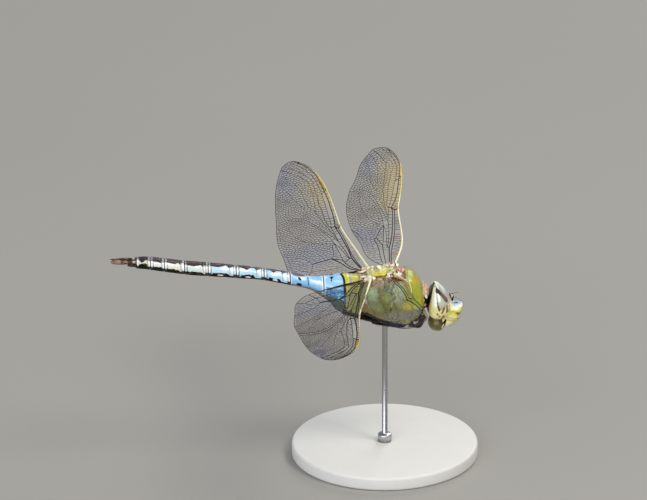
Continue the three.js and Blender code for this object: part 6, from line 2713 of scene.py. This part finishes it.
@dataclass
class Leg:
    """A leg folded under the body: coxa, femur, tibia, tarsus and two claws.

    Joints are those of the left leg: the hip, a point of the thigh, the knee, a point just past
    it, the ankle and the tip.
    """

    kind: str
    side: Side
    joints: tuple[Point, ...]
    thigh: float = 0.42
    shin: float = 0.23
    foot: float = 0.15
    spine: float = 0.62

    def piece(self, points: Array, profile: Sequence[Point], sides: int, shade: str) -> Shape:
        """A tapering part along a line.

        Args:
            points: the line.
            profile: pairs of part of the length and radius.
            sides: corners of its section.
            shade: its colour.

        Returns:
            The shape.
        """
        part = np.linspace(0, 1, len(points))
        rings = limb(points, along_points(profile, part), sides)
        rings = rings + 0.02 * mottle(rings, 0.5, 103)[..., None]
        paint = painted(rings, shade)
        paint = tint(paint, 0.5 * ease(0.1, 1.0, mottle(rings, 0.9, 101)), "3b2518")
        ends = np.maximum(ease(0.07, 0.0, part), ease(0.93, 1.0, part))[:, None]
        paint = tint(paint, 0.8 * ends + 0 * paint[..., 0], "0c0806")
        return lofted(rings, paint)

    def spines(self, thigh: Array, shin: Array) -> None:
        """Rows of stiff spines down the thigh and the shin.

        Args:
            thigh: points along the thigh.
            shin: points along the shin.
        """
        roots, facing, length = [], [], []
        for line, width, size in ((thigh, self.thigh, 0.6), (shin, self.shin, 1.0)):
            dense = spaced_line(line, 0.36)[2:-1]
            ahead = np.gradient(dense, axis=0)
            ahead /= np.linalg.norm(ahead, axis=1, keepdims=True)
            out = np.array([0, self.side.value, 0.0])
            across = np.cross(ahead, out)
            for way in (-1, 1):
                lean = way * across * 0.85 + 0.35 * ahead + 0.35 * out
                lean /= np.linalg.norm(lean, axis=1, keepdims=True)
                roots.append(dense + lean * width * 0.7)
                facing.append(lean)
                length.append(np.full(len(dense), self.spine * size))
        name = f"leg_{self.kind}_{self.side.label}_spines"
        grown = Bristles(
            name, np.vstack(roots), np.vstack(facing), np.concatenate(length), 0.035,
            tone("120c08"), sides=4, bend=3.0,
        )
        hand_in(grown.build(LEG_PLATE), Slot.DARK)

    def build(self) -> bpy.types.Object:
        """Make the leg and its spines."""
        mirror = np.array([1, self.side.value, 1])
        hip, middle, knee, past, ankle, tip = np.array(self.joints, float) * mirror
        root = hip + np.array([-0.25, -0.1 * self.side.value, 1.1])
        thigh = smooth_line([hip, middle, knee], 22)
        shin = smooth_line([knee, past, ankle], 20)
        foot = smooth_line([ankle, (ankle + tip) / 2 + np.array([0, 0, -0.08]), tip], 14)
        full = self.thigh
        parts = [
            self.piece(smooth_line([root, hip + np.array([0.1, 0, -0.1])], 14),
                       ((0, 0.6), (0.4, 0.85), (0.8, 0.6), (1, 0.3)), 20, "33261a"),
            self.piece(thigh, (
                (0, 0.2), (0.05, full * 0.85), (0.1, full * 0.62), (0.16, full * 0.9),
                (0.4, full), (0.85, full * 0.7), (0.95, full * 0.8), (1, full * 0.35),
            ), 18, "1c120c"),
            self.piece(shin, (
                (0, 0.12), (0.05, self.shin * 1.2), (0.14, self.shin * 0.9), (0.9, self.shin * 0.8),
                (0.97, self.shin * 0.95), (1, 0.1),
            ), 14, "120c08"),
            self.piece(foot, (
                (0, 0.08), (0.06, self.foot), (0.22, self.foot * 1.15), (0.27, self.foot * 0.7),
                (0.32, self.foot), (0.55, self.foot * 1.15), (0.6, self.foot * 0.7),
                (0.65, self.foot), (0.95, self.foot), (1, self.foot * 0.5),
            ), 12, "120c08"),
        ]
        ahead = tip - ankle
        ahead /= np.linalg.norm(ahead)
        for way in (-1, 1):
            out = np.array([0, way, 0.0])
            hook = smooth_line([
                tip - 0.05 * ahead, tip + 0.22 * ahead + 0.2 * out + np.array([0, 0, 0.05]),
                tip + 0.4 * ahead + 0.28 * out + np.array([0, 0, -0.2]),
            ], 8)
            parts.append(self.piece(hook, ((0, 0.07), (0.6, 0.05), (1, 0.012)), 8, "0e0806"))
        name = f"leg_{self.kind}_{self.side.label}"
        piece = dress(make_object(f"{name}_limb", parts[0].joined(*parts[1:])), LEG_PLATE)
        self.spines(thigh, shin)
        return hand_in(piece, Slot.DARK, name)


@dataclass
class Tail:
    """The two leaf-shaped claspers at the end of the abdomen and the plate between them."""

    start: float = -53.45
    length: float = 5.5
    height: float = 10.85

    def leaf(
        self, length: float, halves: Array, thick: Array, centre: Array, ridge: float, roll: float = 0
    ) -> Array:
        """Rings of a flat leaf along -X, rolled over, with a keel down the middle of its top.

        Args:
            length: its length.
            halves: half its width at each ring.
            thick: half its thickness at each ring.
            centre: each ring's middle, across and up.
            ridge: height of the keel.
            roll: how far it is rolled, in radians.

        Returns:
            Its points, ring by ring.
        """
        part = np.linspace(0, 1, len(halves))[:, None]
        turn = np.linspace(0, 2 * math.pi, 40, endpoint=False)[None, :]
        across = np.cos(turn)
        up = np.sin(turn)
        rise = thick[:, None] * up * (0.55 + 0.45 * np.abs(up))
        rise += ridge * hump(0, 0.2, across) * (up > 0) * np.sin(math.pi * np.clip(part * 1.05, 0, 1))
        rise -= 0.35 * thick[:, None] * hump(0.5, 0.25, np.abs(across)) * (up > 0)
        level = halves[:, None] * across
        lean = -math.sin(roll) * level * np.clip(part * 6, 0, 1)
        return np.stack([
            self.start - part * length + 0 * turn,
            centre[:, :1] + level * math.cos(roll),
            centre[:, 1:] + rise + lean,
        ], axis=-1)

    def clasper(self, side: Side) -> bpy.types.Object:
        """One clasper.

        Args:
            side: the side of the body it is on.

        Returns:
            The finished piece.
        """
        way = side.value
        part = np.linspace(0, 1, 60)
        halves = along_points((
            (0, 0.3), (0.05, 0.36), (0.15, 0.33), (0.3, 0.42), (0.5, 0.56), (0.7, 0.62),
            (0.84, 0.58), (0.93, 0.42), (0.975, 0.2), (1, 0.05),
        ), part)
        thick = along_points(((0, 0.34), (0.2, 0.32), (0.6, 0.27), (0.9, 0.2), (1, 0.05)), part)
        centre = np.stack([way * (0.78 - 0.08 * part), self.height - 0.05 + 0.2 * part], axis=1)
        rings = self.leaf(self.length, halves, thick, centre, 0.14, way * 0.5)
        cloud = mottle(rings, 0.8, 111)
        t = part[:, None] + 0 * rings[..., 0]
        paint = painted(rings, "3a2a24")
        paint = tint(paint, 0.75 * ease(0.1, 0.9, cloud), "8a6a58")
        upper = np.sin(np.linspace(0, 2 * math.pi, 40, endpoint=False))[None, :] > 0
        paint = tint(paint, 0.3 * upper * ease(0.5, 0.7, t) * ease(0.95, 0.8, t), "c9a284")
        paint = tint(paint, 0.8 * upper * hump(0.08, 0.05, t), "c9bba6")
        edge = np.abs(np.cos(np.linspace(0, 2 * math.pi, 40, endpoint=False)))[None, :]
        paint = tint(paint, 0.7 * ease(0.85, 0.98, edge) + 0 * t, "160f0c")
        piece = dress(make_object(f"clasper_{side.label}", lofted(rings, paint)), DARK_PLATE)
        return hand_in(piece, Slot.DARK, f"cercus_{side.label}")

    def build(self) -> None:
        """Make the claspers, the plate between them and the ring they stand on."""
        for side in Side:
            self.clasper(side)
        part = np.linspace(0, 1, 24)
        halves = along_points(((0, 0.6), (0.2, 0.72), (0.7, 0.66), (0.9, 0.55), (1, 0.3)), part)
        thick = along_points(((0, 0.3), (0.6, 0.24), (1, 0.12)), part)
        centre = np.stack([0 * part, 9.75 + 0.1 * part], axis=1)
        rings = self.leaf(1.8, halves, thick, centre, 0.05)
        paint = painted(rings, "4a3528")
        paint = tint(paint, 0.6 * ease(0.2, 1, mottle(rings, 0.6, 112)), "8f7a5c")
        piece = dress(make_object("tail_plate", lofted(rings, paint)), DARK_PLATE)
        hand_in(piece, Slot.DARK, "epiproct")
        spots = ellipsoid((-53.55, 0, 10.3), (0.35, 1.15, 0.85), 20, 36)
        shade = painted(spots, "2a1e1a")
        shade = tint(shade, 0.7 * ease(0.2, 1, mottle(spots, 0.6, 113)), "6d5a4a")
        stump = dress(make_object("tail_stump", lofted(spots, shade)), DARK_PLATE)
        hand_in(stump, Slot.DARK)


@dataclass
class BodyHairs:
    """Short fine hairs over the thorax and the first rings, thinner on the abdomen."""

    skin: BodySkin
    thorax_count: int = 1500
    rear_count: int = 700

    def build(self) -> bpy.types.Object:
        """Grow them, each mapped to its place on the unrolled skin."""
        rng = np.random.default_rng(121)
        rings, normals = self.skin.rings, surface_normals(self.skin.rings)
        place = self.skin.middle_x
        chest = np.flatnonzero((place > -5.6) & (place < 8.1))
        rear = np.flatnonzero(place < -5.8)
        i = np.concatenate([
            rng.choice(chest, self.thorax_count), rng.choice(rear, self.rear_count)
        ])
        j = rng.integers(0, rings.shape[1], len(i))
        way = normals[i, j] + np.array([-0.45, 0, -0.1]) + rng.normal(scale=0.18, size=(len(i), 3))
        way /= np.linalg.norm(way, axis=1, keepdims=True)
        long = np.where(np.arange(len(i)) < self.thorax_count, 0.62, 0.24)
        length = long * rng.uniform(0.6, 1.2, len(i))
        u = 0.04 + 0.92 * j / rings.shape[1]
        v = 0.04 + 0.92 * i / len(rings)
        grown = Bristles(
            "body_hairs", rings[i, j], way, length, 0.011, tone("8d7c58"),
            np.stack([u, v], axis=1), sides=3,
        )
        return hand_in(grown.build(HAIR), Slot.PALE)


FORE_LEG = (
    (5.4, 1.4, -5.4), (7.3, 1.9, -5.4), (8.4, 2.2, -2.8), (7.9, 2.5, -3.1), (6.9, 2.5, -4.7),
    (5.2, 2.3, -5.3),
)
MIDDLE_LEG = (
    (4.2, 1.2, -5.5), (0.8, 1.3, -5.1), (-2.9, 1.4, -4.25), (-2.7, 1.8, -4.4), (1.0, 1.9, -5.25),
    (3.8, 1.9, -5.6),
)
HIND_LEG = (
    (1.6, 2.15, -4.3), (-3.4, 2.75, -3.3), (-9.4, 3.1, -1.25), (-9.1, 3.3, -1.25),
    (-3.9, 3.1, -2.95), (0.4, 2.8, -4.2),
)


# ---------------------------------------------------------------- studio


@dataclass
class Stand:
    """Flat round base and the steel rod that holds the thorax."""

    corner: float = 0.0006
    steps: int = 6
    around: int = 96
    collar_radius: float = 1.5
    collar_height: float = 1.8
    cup_radius: float = 1.0
    cup_height: float = 1.1

    def turned(self, profile: Sequence[Point], centre: Point = (0.0, 0.0)) -> Shape:
        """Solid turned round an upright axis.

        Args:
            profile: points of (radius, height above the floor), from the bottom up.
            centre: x and y of the axis.

        Returns:
            The shape.
        """
        turn = np.linspace(0, 2 * math.pi, self.around, endpoint=False)
        rings = [
            np.stack([
                centre[0] + radius * np.cos(turn),
                centre[1] + radius * np.sin(turn),
                np.full(self.around, height - BODY_LIFT),
            ], axis=1)
            for radius, height in profile
        ]
        return lofted(np.array(rings))

    def corner_arc(self, radius: float, height: float, size: float, down: bool) -> list[Point]:
        """Rounded corner of a turned profile."""
        turn = np.linspace(0, math.pi / 2, self.steps)
        inner = radius - size
        if down:
            return [(inner + size * math.sin(a), height + size - size * math.cos(a)) for a in turn]
        return [(inner + size * math.cos(a), height - size + size * math.sin(a)) for a in turn]

    def build(self) -> None:
        """Make the base, the rod with its collar, and the cup that meets the body."""
        low, high = (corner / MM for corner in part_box("stand_base"))
        radius, top, size = (high.x - low.x) / 2, high.z, self.corner / MM
        foot_edge = self.corner_arc(radius, low.z, size, True)
        base = [*foot_edge, *self.corner_arc(radius, top, size, False)]
        inner = [(0.35 * radius, top)]
        disc = dress(make_object("stand_disc", self.turned([*base, *inner])), STAND_PAINT)
        hand_in(disc, Slot.PAINT, "stand_base")
        foot, head = (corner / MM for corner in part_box("stand_rod"))
        thick = (head.x - foot.x) / 2
        centre = ((head.x + foot.x) / 2, (head.y + foot.y) / 2)
        rim = top + self.collar_height
        collar = [
            (self.collar_radius, top), *self.corner_arc(self.collar_radius, rim, 0.4, False),
            (thick + 0.15, rim), (thick, rim + 0.15),
        ]
        cup = head.z
        profile = [
            *collar, (thick, cup - self.cup_height), (self.cup_radius, cup - 0.3),
            (self.cup_radius, cup), (0.5, cup),
        ]
        rod = dress(make_object("stand_stem", self.turned(profile, centre)), STAND_STEEL)
        hand_in(rod, Slot.STEEL, "stand_rod")


@dataclass
class Studio:
    """Pale floor, soft lamps and the camera."""

    aim: Point = (-13.2, 0.0, 48.09)
    back: Point = (-0.0671, -0.9146, 0.3987)
    distance: float = 4000.0
    focal: float = 1040.0
    sensor: float = 36.0
    floor_half: float = 4.0
    key_power: float = 8.0
    fill_power: float = 20.0
    rim_power: float = 5.0

    def lamp(self, name: str, place: Point, size: float, power: float, colour: Point) -> None:
        """Square soft lamp that faces the object.

        Args:
            name: its name.
            place: where it stands, in metres from the object's middle.
            size: its width in metres.
            power: its power in watts.
            colour: its linear colour.
        """
        light = bpy.data.lights.new(name, "AREA")
        light.size = size
        light.energy = power
        light.color = colour
        holder = bpy.data.objects.new(name, light)
        middle = Vector(self.aim) * MM
        spot = middle + Vector(place)
        holder.matrix_world = Matrix.Translation(spot) @ (
            (spot - middle).to_track_quat("Z", "Y").to_matrix().to_4x4()
        )
        bpy.context.scene.collection.objects.link(holder)

    def floor(self) -> None:
        """Lay the floor, which isn't part of the object."""
        mesh = bpy.data.meshes.new("floor")
        half = self.floor_half
        corners = [(-half, -half, 0), (half, -half, 0), (half, half, 0), (-half, half, 0)]
        mesh.from_pydata(corners, [], [(0, 1, 2, 3)])
        ground = bpy.data.objects.new("floor", mesh)
        bpy.context.scene.collection.objects.link(ground)
        dress(ground, FLOOR_PAINT)

    def camera(self) -> None:
        """Set the camera on the object at its viewing angle."""
        lens = bpy.data.cameras.new("camera")
        lens.sensor_width = self.sensor
        lens.lens = self.focal
        lens.clip_end = 100.0
        holder = bpy.data.objects.new("camera", lens)
        back = Vector(self.back).normalized()
        right = Vector((-back.y, back.x, 0)).normalized()
        up = back.cross(right)
        spot = Vector(self.aim) * MM + back * self.distance * MM
        turn = Matrix((right, up, back)).transposed().to_4x4()
        holder.matrix_world = Matrix.Translation(spot) @ turn
        bpy.context.scene.collection.objects.link(holder)
        bpy.context.scene.camera = holder

    def build(self) -> None:
        """Set everything up."""
        scene = bpy.context.scene
        scene.view_settings.view_transform = "Standard"
        world = bpy.data.worlds.new("studio")
        world.use_nodes = True
        sky = world.node_tree.nodes["Background"]
        sky.inputs["Color"].default_value = (0.8, 0.86, 0.95, 1)
        sky.inputs["Strength"].default_value = 0.35
        scene.world = world
        self.floor()
        self.lamp("key", (0.6, -0.36, 0.97), 0.5, self.key_power, (1.0, 0.96, 0.88))
        self.lamp("fill", (-0.6, -1.15, 0.42), 1.6, self.fill_power, (0.97, 0.98, 1.0))
        self.lamp("rim", (0.5, 0.9, 0.7), 0.6, self.rim_power, (1.0, 0.97, 0.92))
        self.camera()
# ---------------------------------------------------------------- all of it


def main() -> None:
    """Build the dragonfly, its stand and the studio."""
    logging.basicConfig(level=logging.INFO, format="%(name)s: %(message)s")
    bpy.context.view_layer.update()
    Studio().build()
    Stand().build()
    skin = BodySkin()
    skin.build()
    Back().build()
    Neck().build()
    Skull().build()
    Face().build()
    for side in Side:
        Eye(side).build()
        Leg("fore", side, FORE_LEG, 0.44, 0.3, 0.22).build()
        Leg("middle", side, MIDDLE_LEG, 0.56, 0.28, 0.2).build()
        Leg("hind", side, HIND_LEG, 0.45, 0.24, 0.15).build()
    Tail().build()
    BodyHairs(skin).build()
    fore, hind = WingNet(FORE_WING), WingNet(HIND_WING)
    Wing(fore, Side.LEFT, -6.6, 3.0, 5.8, -18.6, 2.1, 0.5, 1.0).build()
    Wing(fore, Side.RIGHT, -3.5, 13.4, 11.2, 0.3, -1.3, -0.5, 0.12, 0.34, 1.6).build()
    Wing(hind, Side.LEFT, 11.2, -0.2, 13.5, -13.8, 4.7, -0.7, 0.6).build()
    Wing(hind, Side.RIGHT, 10.8, 0.7, 11.8, 0.9, 3.4, -2.2, 0.15, 0.85, 1.5).build()


if __name__ == "__main__":
    main()
